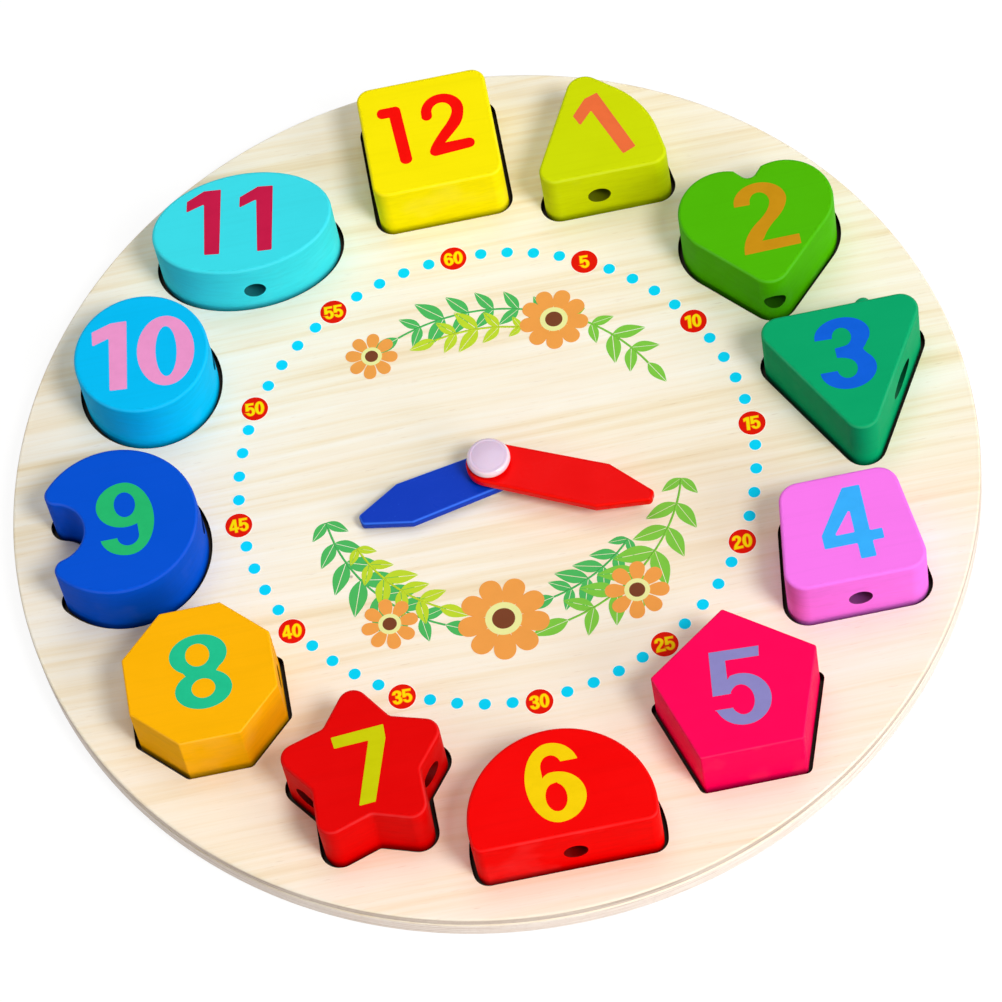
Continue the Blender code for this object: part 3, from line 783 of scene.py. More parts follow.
def pin_plastic(name, code, painted_rim_highlight_code):
    """Milky moulded plastic that lets a little light in, with a paler painted highlight where its surface turns away
    from the top.
    """
    material, tree, place = new_material(name)
    cloud = stretched_noise(tree, place, (160, 160, 160), 3.0, 0.55)
    speck = stretched_noise(tree, place, (1800, 1800, 1800), 1.0, 0.5)
    base = blended(tree, ranged(tree, cloud, 0.35, 0.7, 0.0, 0.5), colour(code), colour(code, 0.94))
    base = blended(tree, times(tree, ranged(tree, speck, 0.68, 0.8), 0.2), base, colour(code, 0.8))
    # Painted highlight: the sloping rim blends towards the paler rim tone.
    base = blended(tree, ranged(tree, upward(tree), 0.93, 0.80), base, colour(painted_rim_highlight_code))
    surfaced(
        tree,
        base,
        ranged(tree, cloud, 0.3, 0.7, 0.13, 0.20),
        raised(tree, cloud, 0.00004, 0.3),
        Specular_IOR_Level=0.45,
        Subsurface_Weight=0.25,
        Subsurface_Scale=0.0015,
    )
    return material


# Solids


def as_object(name, shape, materials):
    """A named object from a bmesh, smooth but for its sharp edges."""
    bmesh.ops.recalc_face_normals(shape, faces=shape.faces)
    mesh = bpy.data.meshes.new(name)
    shape.to_mesh(mesh)
    shape.free()
    for material in materials:
        mesh.materials.append(material)
    mesh.shade_smooth()
    mesh.set_sharp_from_angle(angle=math.radians(SHARP_DEGREES))
    thing = bpy.data.objects.new(name, mesh)
    bpy.context.scene.collection.objects.link(thing)
    return thing


def baked(thing):
    """The object with its modifiers made part of its mesh."""
    bpy.context.view_layer.update()
    evaluated = thing.evaluated_get(bpy.context.evaluated_depsgraph_get())
    mesh = bpy.data.meshes.new_from_object(evaluated)
    old = thing.data
    thing.modifiers.clear()
    if thing.type == "MESH":
        thing.data = mesh
        mesh.name = thing.name
        bpy.data.meshes.remove(old)
        return thing
    name = thing.name
    bpy.data.objects.remove(thing, do_unlink=True)
    bpy.data.curves.remove(old)
    mesh.name = name
    made = bpy.data.objects.new(name, mesh)
    bpy.context.scene.collection.objects.link(made)
    return made


def carved(body, cutter):
    """The body with the cutter's form taken out of it, and its normals drawn to its flats."""
    cut = body.modifiers.new("cut", "BOOLEAN")
    cut.operation = "DIFFERENCE"
    cut.solver = "EXACT"
    cut.object = cutter
    body = baked(body)
    bpy.data.objects.remove(cutter, do_unlink=True)
    return flat_shaded(body)


def flat_shaded(body):
    """The body with the normals at its rounded edges drawn towards its large faces."""
    body.data.set_sharp_from_angle(angle=math.radians(SHARP_DEGREES))
    weighted = body.modifiers.new("weighted", "WEIGHTED_NORMAL")
    weighted.weight = 100
    weighted.keep_sharp = True
    return baked(body)


def stacked(layers, material_index=0):
    """A closed form through outlines in millimetres, each at its own height in metres."""
    shape = bmesh.new()
    rings = []
    for outline, height in layers:
        rings.append([shape.verts.new((x * MM, y * MM, height)) for x, y in outline])
    shape.faces.new(list(reversed(rings[0])))
    shape.faces.new(rings[-1])
    for lower, upper in zip(rings, rings[1:]):
        for i in range(len(lower)):
            shape.faces.new((lower[i - 1], lower[i], upper[i], upper[i - 1]))
    for face in shape.faces:
        face.material_index = material_index
    return shape


def quarter_turn(steps, first=0):
    """Angles in radians from zero, or from a later step, to a quarter turn."""
    return [math.pi / 2 * i / steps for i in range(first, steps + 1)]


def prism(outline, bottom, top, edge, steps=RIM_STEPS):
    """An upright block on an outline, with both rims rounded over."""
    layers = []
    for angle in quarter_turn(steps):
        height = bottom + edge * MM * (1 - math.cos(angle))
        layers.append((grown(outline, edge * (math.sin(angle) - 1)), height))
    for angle in quarter_turn(steps):
        height = top - edge * MM * (1 - math.sin(angle))
        layers.append((grown(outline, edge * (math.cos(angle) - 1)), height))
    return stacked(layers)


def straight_bore(radius, bottom, top):
    """The profile of a bore that runs on past both of its ends."""
    low = bottom - OVERRUN
    high = top + OVERRUN
    return [(0, low), (radius, low), (radius, high), (0, high)]


def turned(profile, facets=ROUND_FACETS, material_index=0):
    """A profile of radii and heights, turned about the Z axis. It starts and ends on the axis."""
    shape = bmesh.new()
    points = [shape.verts.new((radius, 0, height)) for radius, height in profile]
    edges = [shape.edges.new(pair) for pair in zip(points, points[1:])]
    bmesh.ops.spin(
        shape,
        geom=points + edges,
        cent=(0, 0, 0),
        axis=(0, 0, 1),
        angle=math.tau,
        steps=facets,
        use_merge=True,
    )
    bmesh.ops.remove_doubles(shape, verts=shape.verts, dist=MERGE_DISTANCE)
    for face in shape.faces:
        face.material_index = material_index
    return shape


def joined(shapes):
    """Several bmeshes as one."""
    whole = bmesh.new()
    for shape in shapes:
        part = bpy.data.meshes.new("part")
        shape.to_mesh(part)
        shape.free()
        whole.from_mesh(part)
        bpy.data.meshes.remove(part)
    return whole


def block_place(block):
    return Vector((BOARD_RADIUS * block.share_x, BOARD_RADIUS * block.share_y, 0))


def moved(thing, place, turn=0.0):
    """The object's mesh turned about Z and moved, so that the object stays at the origin."""
    thing.data.transform(Matrix.Translation(place) @ Matrix.Rotation(turn, 4, "Z"))
    return thing


def handed_over(thing, body, node=None):
    """A finished piece that rides on its body and may stand for a node of the model."""
    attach(thing, body)
    if node:
        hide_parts(node)


# Boards


def make_boards():
    rim = arc((0, 0), BOARD_RADIUS / MM, 0, 360, BOARD_FACETS)[:-1]
    edge = BOARD_EDGE_ROUND / MM
    face_wood = birch("face_birch_lacquer", (0.0, 0.0, 0.0), ("CDB8A7", "E0CFC0", "B49C8B"), FACE_KNOTS)
    base_wood = birch("base_birch_lacquer", (3.1, 5.7, 1.3), ("F0DFD2", "FAEEE4", "DCC6B6"))
    # The cut-out walls are charred, and darkened further as painted gap shade.
    charred_and_shaded = singed_edge()

    face = as_object("dressed_face_board", prism(rim, FACE_BOTTOM, FACE_TOP, edge, 4), (face_wood, charred_and_shaded))
    openings = []
    for block in BLOCKS:
        place = block_place(block)
        outline = grown(block.outline, CUTOUT_CLEARANCE)
        layers = [
            (outline, FACE_BOTTOM - OVERRUN),
            (outline, FACE_TOP - CUTOUT_CHAMFER * MM),
            (grown(outline, 2 * CUTOUT_CHAMFER), FACE_TOP + CUTOUT_CHAMFER * MM),
        ]
        opening = stacked(layers, 1)
        bmesh.ops.translate(opening, vec=place, verts=opening.verts)
        openings.append(opening)
    hole = socket_hole_radius()
    openings.append(turned(straight_bore(hole, FACE_BOTTOM, FACE_TOP), BORE_FACETS, 1))
    cutter = as_object("openings", joined(openings), (face_wood, charred_and_shaded))
    face = carved(face, cutter)
    handed_over(face, "clock", "face_board")

    base = as_object("dressed_base_board", prism(rim, 0, BASE_TOP, edge, 4), (base_wood,))
    flange = SOCKET_RADIUS + SHAFT_CLEARANCE
    depth = SOCKET_BOTTOM + SOCKET_FLANGE + SHAFT_CLEARANCE
    high = BASE_TOP + OVERRUN
    steps = [(0, -OVERRUN), (flange, -OVERRUN), (flange, depth), (hole, depth), (hole, high), (0, high)]
    cutter = as_object("socket_hole", turned(steps), (base_wood,))
    base = carved(base, cutter)
    handed_over(base, "clock", "base_board")
    make_scorch(base_wood)


def make_scorch(wood):
    """Painted shade on the recess floors: near-black brown at the gaps round the blocks, fading inwards under them.
    """
    shape = bmesh.new()
    gap_shade = shape.verts.layers.float.new("gap_shade")
    low = BASE_TOP - INK_SINK
    high = BASE_TOP + INK_THICKNESS - INK_SINK
    for block in BLOCKS:
        place = block_place(block)
        middle = [(min(values) + max(values)) / 2 for values in zip(*block.outline)]
        inner = []
        for point in block.outline:
            inner.append(tuple(m + (v - m) * RECESS_SHADE_INNER_SHARE for v, m in zip(point, middle)))
        wall = grown(block.outline, CUTOUT_CLEARANCE + RECESS_SHADE_OVERLAP)
        edges = [(wall, low, 1), (wall, high, 1), (block.outline, high, 0.9)]
        edges += [(inner, high, 0), (inner, low, 0)]
        rings = []
        for outline, height, share in edges:
            ring = [shape.verts.new((place.x + x * MM, place.y + y * MM, height)) for x, y in outline]
            for point in ring:
                point[gap_shade] = share
            rings.append(ring)
        for ring, following in zip(rings, rings[1:] + rings[:1]):
            for i in range(len(ring)):
                shape.faces.new((ring[i - 1], ring[i], following[i], following[i - 1]))
    handed_over(as_object("recess_painted_shade", shape, (wood,)), "clock")


def socket_hole_radius():
    """The boards' bore round the socket's barrel."""
    return PIN_SHAFT_RADIUS + SHAFT_CLEARANCE + SOCKET_WALL + SHAFT_CLEARANCE


# Blocks


def crossings(outline, axis, shift):
    """The lowest and highest place where a line along an axis meets the outline."""
    along = 0 if axis == "X" else 1
    across = 1 - along
    found = []
    for first, second in zip(outline, outline[1:] + outline[:1]):
        low = first[across] - shift
        high = second[across] - shift
        if (low < 0) != (high < 0):
            share = low / (low - high)
            found.append(first[along] + share * (second[along] - first[along]))
    return min(found), max(found)


def bore_profile(start, end):
    """The lacing bore from mouth to mouth, each mouth eased by a small round."""
    mouth = BORE_MOUTH_ROUND
    profile = [(0, start - BORE_OVERRUN), (BORE_RADIUS + mouth, start - BORE_OVERRUN)]
    for angle in quarter_turn(RIM_STEPS):
        radius = BORE_RADIUS + mouth * (1 - math.sin(angle))
        profile.append((radius, start + mouth * (1 - math.cos(angle))))
    for angle in quarter_turn(RIM_STEPS):
        radius = BORE_RADIUS + mouth * (1 - math.cos(angle))
        profile.append((radius, end - mouth * (1 - math.sin(angle))))
    profile += [(BORE_RADIUS + mouth, end + BORE_OVERRUN), (0, end + BORE_OVERRUN)]
    return profile


def make_block(block):
    """A painted block with its bore, set at its hour."""
    paint = block_paint(f"{block.name}_eggshell", block.paint, block.hour)
    # The bores get the same paint, darkened to a fifth, as painted shade deep inside them.
    shade_paint = block_paint(f"{block.name}_bore_stain", block.paint, block.hour + 20, 0.20)
    solid = prism(block.outline, BLOCK_BOTTOM, WOOD_TOP, block.edge)
    body = as_object(f"dressed_{block.name}", solid, (paint, shade_paint))
    start, end = crossings(block.outline, block.bore_axis, block.bore_shift)
    bore = turned(bore_profile(start * MM, end * MM), BORE_FACETS, 1)
    middle = (BLOCK_BOTTOM + BLOCK_TOP) / 2
    if block.bore_axis == "X":
        swing = Matrix.Rotation(math.pi / 2, 4, "Y")
        place = Vector((0, block.bore_shift * MM, middle))
    else:
        swing = Matrix.Rotation(-math.pi / 2, 4, "X")
        place = Vector((block.bore_shift * MM, 0, middle))
    bmesh.ops.transform(bore, matrix=Matrix.Translation(place) @ swing, verts=bore.verts)
    body = carved(body, as_object("bore", bore, (paint, shade_paint)))
    moved(body, block_place(block))
    handed_over(body, block.name, block.name)


def make_paint_bead():
    """A dried drop of paint on the far top edge of the triangle."""
    block = BLOCKS[3]
    paint = block_paint("paint_bead_eggshell", block.paint, block.hour)
    shape = bmesh.new()
    bmesh.ops.create_icosphere(shape, subdivisions=3, radius=1.0)
    for point in shape.verts:
        x, y, z = point.co
        bulge = 1 + 0.12 * math.sin(3 * x + 1) * math.cos(2 * z)
        point.co = Vector((2.0 * bulge * x + 0.25 * z, 1.6 * bulge * y, 1.5 * z - 0.3 * y * y)) * MM
    bead = as_object("block_3_paint_bead", shape, (paint,))
    local = Vector((5.95 * MM, 18.8 * MM, WOOD_TOP - 1.7 * MM))
    handed_over(moved(bead, block_place(block) + local), block.name)


# Prints


def print_of(name, contours, height, material, place=(0, 0), thickness=INK_THICKNESS):
    """A thin print made from closed outlines in millimetres, the holes left open."""
    sheet = bpy.data.curves.new(name, "CURVE")
    sheet.dimensions = "2D"
    sheet.fill_mode = "BOTH"
    sheet.extrude = thickness / 2
    for contour in contours:
        points = without_doubles(contour)
        spline = sheet.splines.new("POLY")
        spline.points.add(len(points) - 1)
        for point, (x, y) in zip(spline.points, points):
            point.co = (x * MM, y * MM, 0, 1)
        spline.use_cyclic_u = True
    sheet.materials.append(material)
    flat = bpy.data.objects.new(name, sheet)
    bpy.context.scene.collection.objects.link(flat)
    flat = baked(flat)
    shape = bmesh.new()
    shape.from_mesh(flat.data)
    bmesh.ops.remove_doubles(shape, verts=shape.verts, dist=MERGE_DISTANCE)
    bmesh.ops.recalc_face_normals(shape, faces=shape.faces)
    shape.to_mesh(flat.data)
    shape.free()
    return moved(flat, Vector((place[0], place[1], height - thickness / 2)))


def make_numeral(block):
    """The hour's numeral on its block."""
    pigment = ink(f"numeral_{block.hour}_ink", block.ink)
    contours = [contour for digit in NUMERALS[block.hour] for contour in digit]
    place = block_place(block)
    numeral = print_of(f"numeral_{block.hour}", contours, BLOCK_TOP, pigment, (place.x, place.y))
    handed_over(numeral, block.name)


def meeting_point(first, second):
    """Where two lines meet, each given by a point and a direction.

    Lines that are nearly parallel meet at the second's point.
    """
    (start, along), (other, across) = first, second
    slant = along.cross(across)
    if abs(slant) < 0.001:
        return other
    return start + along * ((other - start).cross(across) / slant)


def spread(outline, distance):
    """A counter-clockwise outline moved outwards, without the loops that grow in tight corners."""
    lines = []
    for first, second in zip(outline, outline[1:] + outline[:1]):
        along = (Vector(second) - Vector(first)).normalized()
        lines.append((Vector(first) + Vector((along.y, -along.x)) * distance, along))
    while True:
        corners = [meeting_point(lines[i - 1], lines[i]) for i in range(len(lines))]
        steps = [after - before for before, after in zip(corners, corners[1:] + corners[:1])]
        kept = [line for line, step in zip(lines, steps) if step.dot(line[1]) > 0]
        if len(kept) == len(lines):
            return [tuple(corner) for corner in corners]
        lines = kept


def spread_digit(digit, distance):
    """A digit with its strokes made wider: the outline grows and the holes shrink."""
    contours = []
    for i, contour in enumerate(digit):
        points = counter_clockwise(without_doubles(contour, 0.02))
        contours.append(spread(points, distance if i == 0 else -distance))
    return contours


def ring_number(text, centre):
    """The digits of a minute number, scaled and set round the middle of their disc."""
    widths = [RING_ONE_WIDTH if letter == "1" else RING_DIGIT_WIDTH for letter in text]
    cursor = centre[0] - (sum(widths) + RING_DIGIT_GAP * (len(text) - 1)) / 2
    digits = []
    for letter, width in zip(text, widths):
        source = RING_DIGITS[letter]
        xs = [x for x, y in source[0]]
        ys = [y for x, y in source[0]]
        x_scale = width / (max(xs) - min(xs))
        y_scale = RING_DIGIT_HEIGHT / (max(ys) - min(ys))
        left = min(xs)
        middle = (max(ys) + min(ys)) / 2
        digit = []
        for contour in source:
            digit.append([])
            for x, y in contour:
                place = (cursor + (x - left) * x_scale, centre[1] + (y - middle) * y_scale)
                digit[-1].append(place)
        digits.append(digit)
        cursor += width + RING_DIGIT_GAP
    return digits


def make_ring_numbers():
    yellow = ink("ring_number_ink", "FFE400", 0.05)
    orange = ink("ring_number_edge_ink", "FF8A00", 0.05)
    plain = []
    edges = [[], []]
    for i in range(12):
        angle = math.radians(90 - 30 * i)
        x = DISC_RING_CENTRE[0] + DISC_RING_RADIUS * math.cos(angle)
        y = DISC_RING_CENTRE[1] + DISC_RING_RADIUS * math.sin(angle)
        for place, digit in enumerate(ring_number(str(5 * i or 60), (x, y))):
            plain += spread_digit(digit, RING_DIGIT_GROWTH)
            edges[place] += spread_digit(digit, RING_DIGIT_EDGE)
    for place, contours in enumerate(edges):
        height = coat(3) + place * OVERLAP_STEP
        handed_over(print_of(f"ring_number_edges_{place + 1}", contours, height, orange), "clock")
    handed_over(print_of("ring_numbers", plain, coat(4), yellow), "clock")


def node_tree_with_inputs(name, inputs):
    """An empty geometry tree with named inputs and a geometry output."""
    tree = bpy.data.node_groups.new(name, "GeometryNodeTree")
    tree.interface.new_socket("Geometry", in_out="INPUT", socket_type="NodeSocketGeometry")
    for label, kind in inputs:
        tree.interface.new_socket(label, in_out="INPUT", socket_type=kind)
    tree.interface.new_socket("Geometry", in_out="OUTPUT", socket_type="NodeSocketGeometry")
    return tree, put(tree, "NodeGroupInput").outputs


def shaped(name, tree, values):
    """A piece made by a geometry tree, as a plain mesh."""
    holder = bpy.data.objects.new(name, bpy.data.meshes.new(name))
    bpy.context.scene.collection.objects.link(holder)
    maker = holder.modifiers.new("maker", "NODES")
    maker.node_group = tree
    for item in tree.interface.items_tree:
        if item.in_out == "INPUT" and item.name in values:
            maker[item.identifier] = values[item.name]
    return baked(holder)


def finished(tree, geometry, material):
    """The tree, ended: its geometry made real, given its material and sent out."""
    solid = put(tree, "GeometryNodeRealizeInstances", {"Geometry": geometry})
    coated = put(tree, "GeometryNodeSetMaterial", {"Geometry": solid.outputs[0], "Material": material})
    put(tree, "NodeGroupOutput", {"Geometry": coated.outputs[0]})
    return tree


def ring_tree():
    """Small round plates on the places of a ring: every fifth one, or all the others."""
    inputs = [
        ("Ring Radius", "NodeSocketFloat"),
        ("Places", "NodeSocketInt"),
        ("Every Fifth", "NodeSocketBool"),
        ("Plate Radius", "NodeSocketFloat"),
        ("Plate Thickness", "NodeSocketFloat"),
        ("Facets", "NodeSocketInt"),
        ("Material", "NodeSocketMaterial"),
    ]
    tree, given = node_tree_with_inputs("minute_ring", inputs)
    circle = put(tree, "GeometryNodeMeshCircle", {"Vertices": given["Places"], "Radius": given["Ring Radius"]})
    index = put(tree, "GeometryNodeInputIndex").outputs[0]
    fifth = figured(tree, "MODULO", index, 5.0)
    is_fifth = put(tree, "FunctionNodeCompare", {0: fifth, 1: 0.5}, data_type="FLOAT", operation="LESS_THAN")
    chosen = put(tree, "FunctionNodeBooleanMath", {0: is_fifth.outputs[0], 1: given["Every Fifth"]}, operation="XNOR")
    plate_sockets = {"Vertices": given["Facets"], "Radius": given["Plate Radius"], "Depth": given["Plate Thickness"]}
    plate = put(tree, "GeometryNodeMeshCylinder", plate_sockets)
    sockets = {"Points": circle.outputs[0], "Selection": chosen.outputs[0], "Instance": plate.outputs[0]}
    placed = put(tree, "GeometryNodeInstanceOnPoints", sockets)
    return finished(tree, placed.outputs[0], given["Material"])


def make_ring():
    """The printed minute ring: dots, discs and the pale undercoat that shows round both."""
    tree = ring_tree()
    undercoat = ink("ring_undercoat_ink", "FFFAEC", 0.03)
    blue = ink("ring_dot_ink", "00D8FF", 0.06)
    red = ink("ring_disc_ink", "E61400", 0.06)
    plates = [
        ("ring_dot_undercoat", False, DOT_RADIUS + UNDERCOAT_SPREAD, undercoat, 1),
        ("ring_disc_undercoat", True, DISC_RADIUS + UNDERCOAT_SPREAD, undercoat, 1),
        ("ring_dots", False, DOT_RADIUS, blue, 2),
        ("ring_discs", True, DISC_RADIUS, red, 2),
    ]
    for name, fifth, radius, pigment, level in plates:
        centre = DISC_RING_CENTRE if fifth else DOT_RING_CENTRE
        values = {
            "Ring Radius": (DISC_RING_RADIUS if fifth else DOT_RING_RADIUS) * MM,
            "Places": RING_PLACES,
            "Every Fifth": fifth,
            "Plate Radius": radius * MM,
            "Plate Thickness": INK_THICKNESS,
            "Facets": PRINT_FACETS,
            "Material": pigment,
        }
        plate = shaped(name, tree, values)
        moved(plate, Vector((centre[0] * MM, centre[1] * MM, coat(level) - INK_THICKNESS / 2)))
        handed_over(plate, "clock")
    make_ring_numbers()


def coat(level):
    """The height of the top of a print that lies that many thin coats above the face."""
    return FACE_TOP + level * COAT_STEP


# Garland


def plate_parts(tree):
    """The coordinates of each point of a plate that is two units wide and one unit thick."""
    position = put(tree, "GeometryNodeInputPosition").outputs[0]
    return put(tree, "ShaderNodeSeparateXYZ", {0: position}).outputs


def shaped_plate(tree, facets, x, y, z):
    """A round plate whose points are moved, so that it takes the form of a leaf or petal."""
    plate = put(tree, "GeometryNodeMeshCylinder", {"Vertices": facets, "Radius": 1.0, "Depth": 1.0})
    place = put(tree, "ShaderNodeCombineXYZ", {"X": x, "Y": y, "Z": z}).outputs[0]
    return put(tree, "GeometryNodeSetPosition", {"Geometry": plate.outputs[0], "Position": place}).outputs[0]


def half_leaf(tree, given, side):
    """One half of a leaf that grows along Y, pointed at both ends, beside its midrib."""
    parts = plate_parts(tree)
    bulge = figured(tree, "MAXIMUM", times(tree, parts["X"], side), 0.0)
    bulge = times(tree, bulge, bulge)
    taper = figured(tree, "SUBTRACT", 1.1, times(tree, parts["Y"], 0.38))
    across = times(tree, times(tree, bulge, taper), given["Leaf Half Width"])
    across = plus(tree, across, given["Midrib Half Width"])
    along = times(tree, plus(tree, parts["Y"], 1.0), 0.5)
    x = times(tree, across, side)
    y = times(tree, along, given["Leaf Length"])
    z = times(tree, parts["Z"], given["Thickness"])
    return shaped_plate(tree, 28, x, y, z)


def leaves_at(tree, points, leaf, heading, lean, size, sink, selection=None):
    """A leaf a little below each point, turned from the stem's heading by a lean in radians."""
    down = put(tree, "ShaderNodeCombineXYZ", {"Z": times(tree, sink, -OVERLAP_STEP)}).outputs[0]
    points = put(tree, "GeometryNodeSetPosition", {"Geometry": points, "Offset": down}).outputs[0]
    angle = plus(tree, figured(tree, "SUBTRACT", heading, math.pi / 2), lean)
    turn = put(tree, "ShaderNodeCombineXYZ", {"Z": angle}).outputs[0]
    turn = put(tree, "FunctionNodeEulerToRotation", {0: turn}).outputs[0]
    scale = put(tree, "ShaderNodeCombineXYZ", {"X": size, "Y": size, "Z": 1.0}).outputs[0]
    sockets = {"Points": points, "Instance": leaf, "Rotation": turn, "Scale": scale}
    if selection is not None:
        sockets["Selection"] = selection
    return put(tree, "GeometryNodeInstanceOnPoints", sockets).outputs[0]


def sprig_tree():
    """A curved stem with pairs of leaves, which are larger in its middle, and one at its tip."""
    inputs = [
        ("Stem Radius", "NodeSocketFloat"),
        ("Start Angle", "NodeSocketFloat"),
        ("Sweep Angle", "NodeSocketFloat"),
        ("Stem Width", "NodeSocketFloat"),
        ("Pairs", "NodeSocketInt"),
        ("Leaf Length", "NodeSocketFloat"),
        ("Leaf Half Width", "NodeSocketFloat"),
        ("Midrib Half Width", "NodeSocketFloat"),
        ("Leaf Lean", "NodeSocketFloat"),
        ("Thickness", "NodeSocketFloat"),
        ("Seed", "NodeSocketInt"),
        ("Material", "NodeSocketMaterial"),
    ]
    tree, given = node_tree_with_inputs("sprig", inputs)
    sockets = {"Resolution": 64, "Radius": given["Stem Radius"]}
    sockets["Start Angle"] = given["Start Angle"]
    sockets["Sweep Angle"] = given["Sweep Angle"]
    stem = put(tree, "GeometryNodeCurveArc", sockets, mode="RADIUS").outputs[0]
    upright = put(tree, "GeometryNodeSetCurveNormal", {"Curve": stem}, mode="Z_UP").outputs[0]
    sockets = {"Width": given["Stem Width"], "Height": given["Thickness"]}
    section = put(tree, "GeometryNodeCurvePrimitiveQuadrilateral", sockets, mode="RECTANGLE").outputs[0]
    sockets = {"Curve": upright, "Profile Curve": section, "Fill Caps": True}
    ribbon = put(tree, "GeometryNodeCurveToMesh", sockets).outputs[0]

    count = plus(tree, given["Pairs"], 1.0)
    spots = put(tree, "GeometryNodeCurveToPoints", {"Curve": stem, "Count": count}, mode="COUNT").outputs
    along = put(tree, "ShaderNodeSeparateXYZ", {0: spots["Tangent"]}).outputs
    heading = figured(tree, "ARCTAN2", along["Y"], along["X"])
    index = put(tree, "GeometryNodeInputIndex").outputs[0]
    share = figured(tree, "DIVIDE", index, given["Pairs"])
    swell = figured(tree, "SINE", times(tree, share, math.pi))
    sockets = {"Min": 0.88, "Max": 1.12, "Seed": given["Seed"]}
    chance = put(tree, "FunctionNodeRandomValue", sockets, data_type="FLOAT").outputs[1]
    size = plus(tree, times(tree, swell, 0.42), 0.62)
    size = times(tree, size, chance)
    kind = {"data_type": "FLOAT", "operation": "GREATER_THAN"}
    is_tip = put(tree, "FunctionNodeCompare", {0: share, 1: 0.99}, **kind).outputs[0]
    not_tip = put(tree, "FunctionNodeBooleanMath", {0: is_tip}, operation="NOT").outputs[0]

    halves = put(tree, "GeometryNodeJoinGeometry")
    for side in (1.0, -1.0):
        tree.links.new(half_leaf(tree, given, side), halves.inputs[0])
    leaf = halves.outputs[0]
    whole = put(tree, "GeometryNodeJoinGeometry")
    tree.links.new(ribbon, whole.inputs[0])
    right = times(tree, given["Leaf Lean"], -1.0)
    for lean, sink in ((given["Leaf Lean"], 1.0), (right, 2.0)):
        leaves = leaves_at(tree, spots["Points"], leaf, heading, lean, size, sink, not_tip)
        tree.links.new(leaves, whole.inputs[0])
    tip = leaves_at(tree, spots["Points"], leaf, heading, 0.0, 1.0, 1.0, is_tip)
    tree.links.new(tip, whole.inputs[0])
    return finished(tree, whole.outputs[0], given["Material"])


def petal_tree():
    """A ring of petals, wider at their outer ends."""
    inputs = [
        ("Petals", "NodeSocketInt"),
        ("Inner Radius", "NodeSocketFloat"),
        ("Petal Length", "NodeSocketFloat"),
        ("Petal Half Width", "NodeSocketFloat"),
        ("Thickness", "NodeSocketFloat"),
        ("Material", "NodeSocketMaterial"),
    ]
    tree, given = node_tree_with_inputs("petals", inputs)
    parts = plate_parts(tree)
    flare = plus(tree, times(tree, parts["Y"], 0.3), 0.85)
    x = times(tree, times(tree, parts["X"], flare), given["Petal Half Width"])
    along = times(tree, plus(tree, parts["Y"], 1.0), 0.5)
    y = times(tree, along, given["Petal Length"])
    z = times(tree, parts["Z"], given["Thickness"])
    petal = shaped_plate(tree, 32, x, y, z)
    circle = put(tree, "GeometryNodeMeshCircle", {"Vertices": given["Petals"], "Radius": given["Inner Radius"]})
    place = plate_parts(tree)
    outward = figured(tree, "ARCTAN2", place["Y"], place["X"])
    sink = figured(tree, "MODULO", put(tree, "GeometryNodeInputIndex").outputs[0], 3.0)
    petals = leaves_at(tree, circle.outputs[0], petal, outward, 0.0, 1.0, sink)
    return finished(tree, petals, given["Material"])


def make_garland():
    """Sprigs and daisies inside the ring, in the printed picture's colours."""
    sprigs = sprig_tree()
    greens = [ink(f"garland_green_{i + 1}_ink", code, 0.05) for i, code in enumerate(("4DBB60", "7FCB45", "C0DC30"))]
    centre = Vector((DOT_RING_CENTRE[0] * MM, DOT_RING_CENTRE[1] * MM, 0))
    for i, (radius, start, sweep, pairs, length, green) in enumerate(GARLAND_SPRIGS):
        values = {
            "Stem Radius": radius * MM,
            "Start Angle": math.radians(start),
            "Sweep Angle": math.radians(sweep),
            "Stem Width": STEM_WIDTH,
            "Pairs": pairs,
            "Leaf Length": length * MM,
            "Leaf Half Width": length * LEAF_HALF_WIDTH_SHARE * MM,
            "Midrib Half Width": MIDRIB_HALF_WIDTH,
            "Leaf Lean": math.radians(LEAF_LEAN_DEGREES),
            "Thickness": INK_THICKNESS,
            "Seed": i + 3,
            "Material": greens[green],
        }
        sprig = shaped(f"garland_sprig_{i + 1}", sprigs, values)
        height = coat(1 + green) - INK_THICKNESS / 2
        handed_over(moved(sprig, centre + Vector((0, 0, height))), "clock")

    petals = petal_tree()
    orange = ink("garland_orange_ink", "F2A24C", 0.05)
    pale = ink("garland_pale_yellow_ink", "EEF0A0", 0.05)
    brown = ink("garland_brown_ink", "7A4228", 0.05)
    for i, (reach, degrees, radius, count) in enumerate(GARLAND_DAISIES):
        values = {
            "Petals": count,
            "Inner Radius": radius * 0.26 * MM,
            "Petal Length": radius * 0.74 * MM,
            "Petal Half Width": radius * 0.27 * MM,
            "Thickness": INK_THICKNESS,
            "Material": orange,
        }
        angle = math.radians(degrees)
        place = centre + Vector((math.cos(angle), math.sin(angle), 0)) * reach * MM
        flower = shaped(f"garland_petals_{i + 1}", petals, values)
        handed_over(moved(flower, place + Vector((0, 0, coat(4) - INK_THICKNESS / 2)), angle), "clock")
        for name, share, pigment, level in (("pale_eye", 0.40, pale, 5), ("brown_eye", 0.25, brown, 6)):
            eye = print_of(
                f"garland_{name}_{i + 1}",
                [arc((0, 0), radius * share, 0, 360, PRINT_FACETS)[:-1]],
                coat(level),
                pigment,
                (place.x, place.y),
            )
            handed_over(eye, "clock")


# Hands, pin and socket


def make_hand(name, pose, bottom, top, code, highlight_code):
    lacquer = hand_lacquer(f"{name}_lacquer", code, highlight_code)
    solid = prism(hand_outline(pose), bottom, top, HAND_EDGE_ROUND)
    body = as_object(f"dressed_{name}", solid, (lacquer,))
    hole = PIN_SHAFT_RADIUS + SHAFT_CLEARANCE
    bore = turned(straight_bore(hole, bottom, top), BORE_FACETS)
    body = carved(body, as_object("pin_bore", bore, (lacquer,)))
    moved(body, Vector((0, 0, 0)), -math.radians(pose.degrees))
    handed_over(body, name, name)


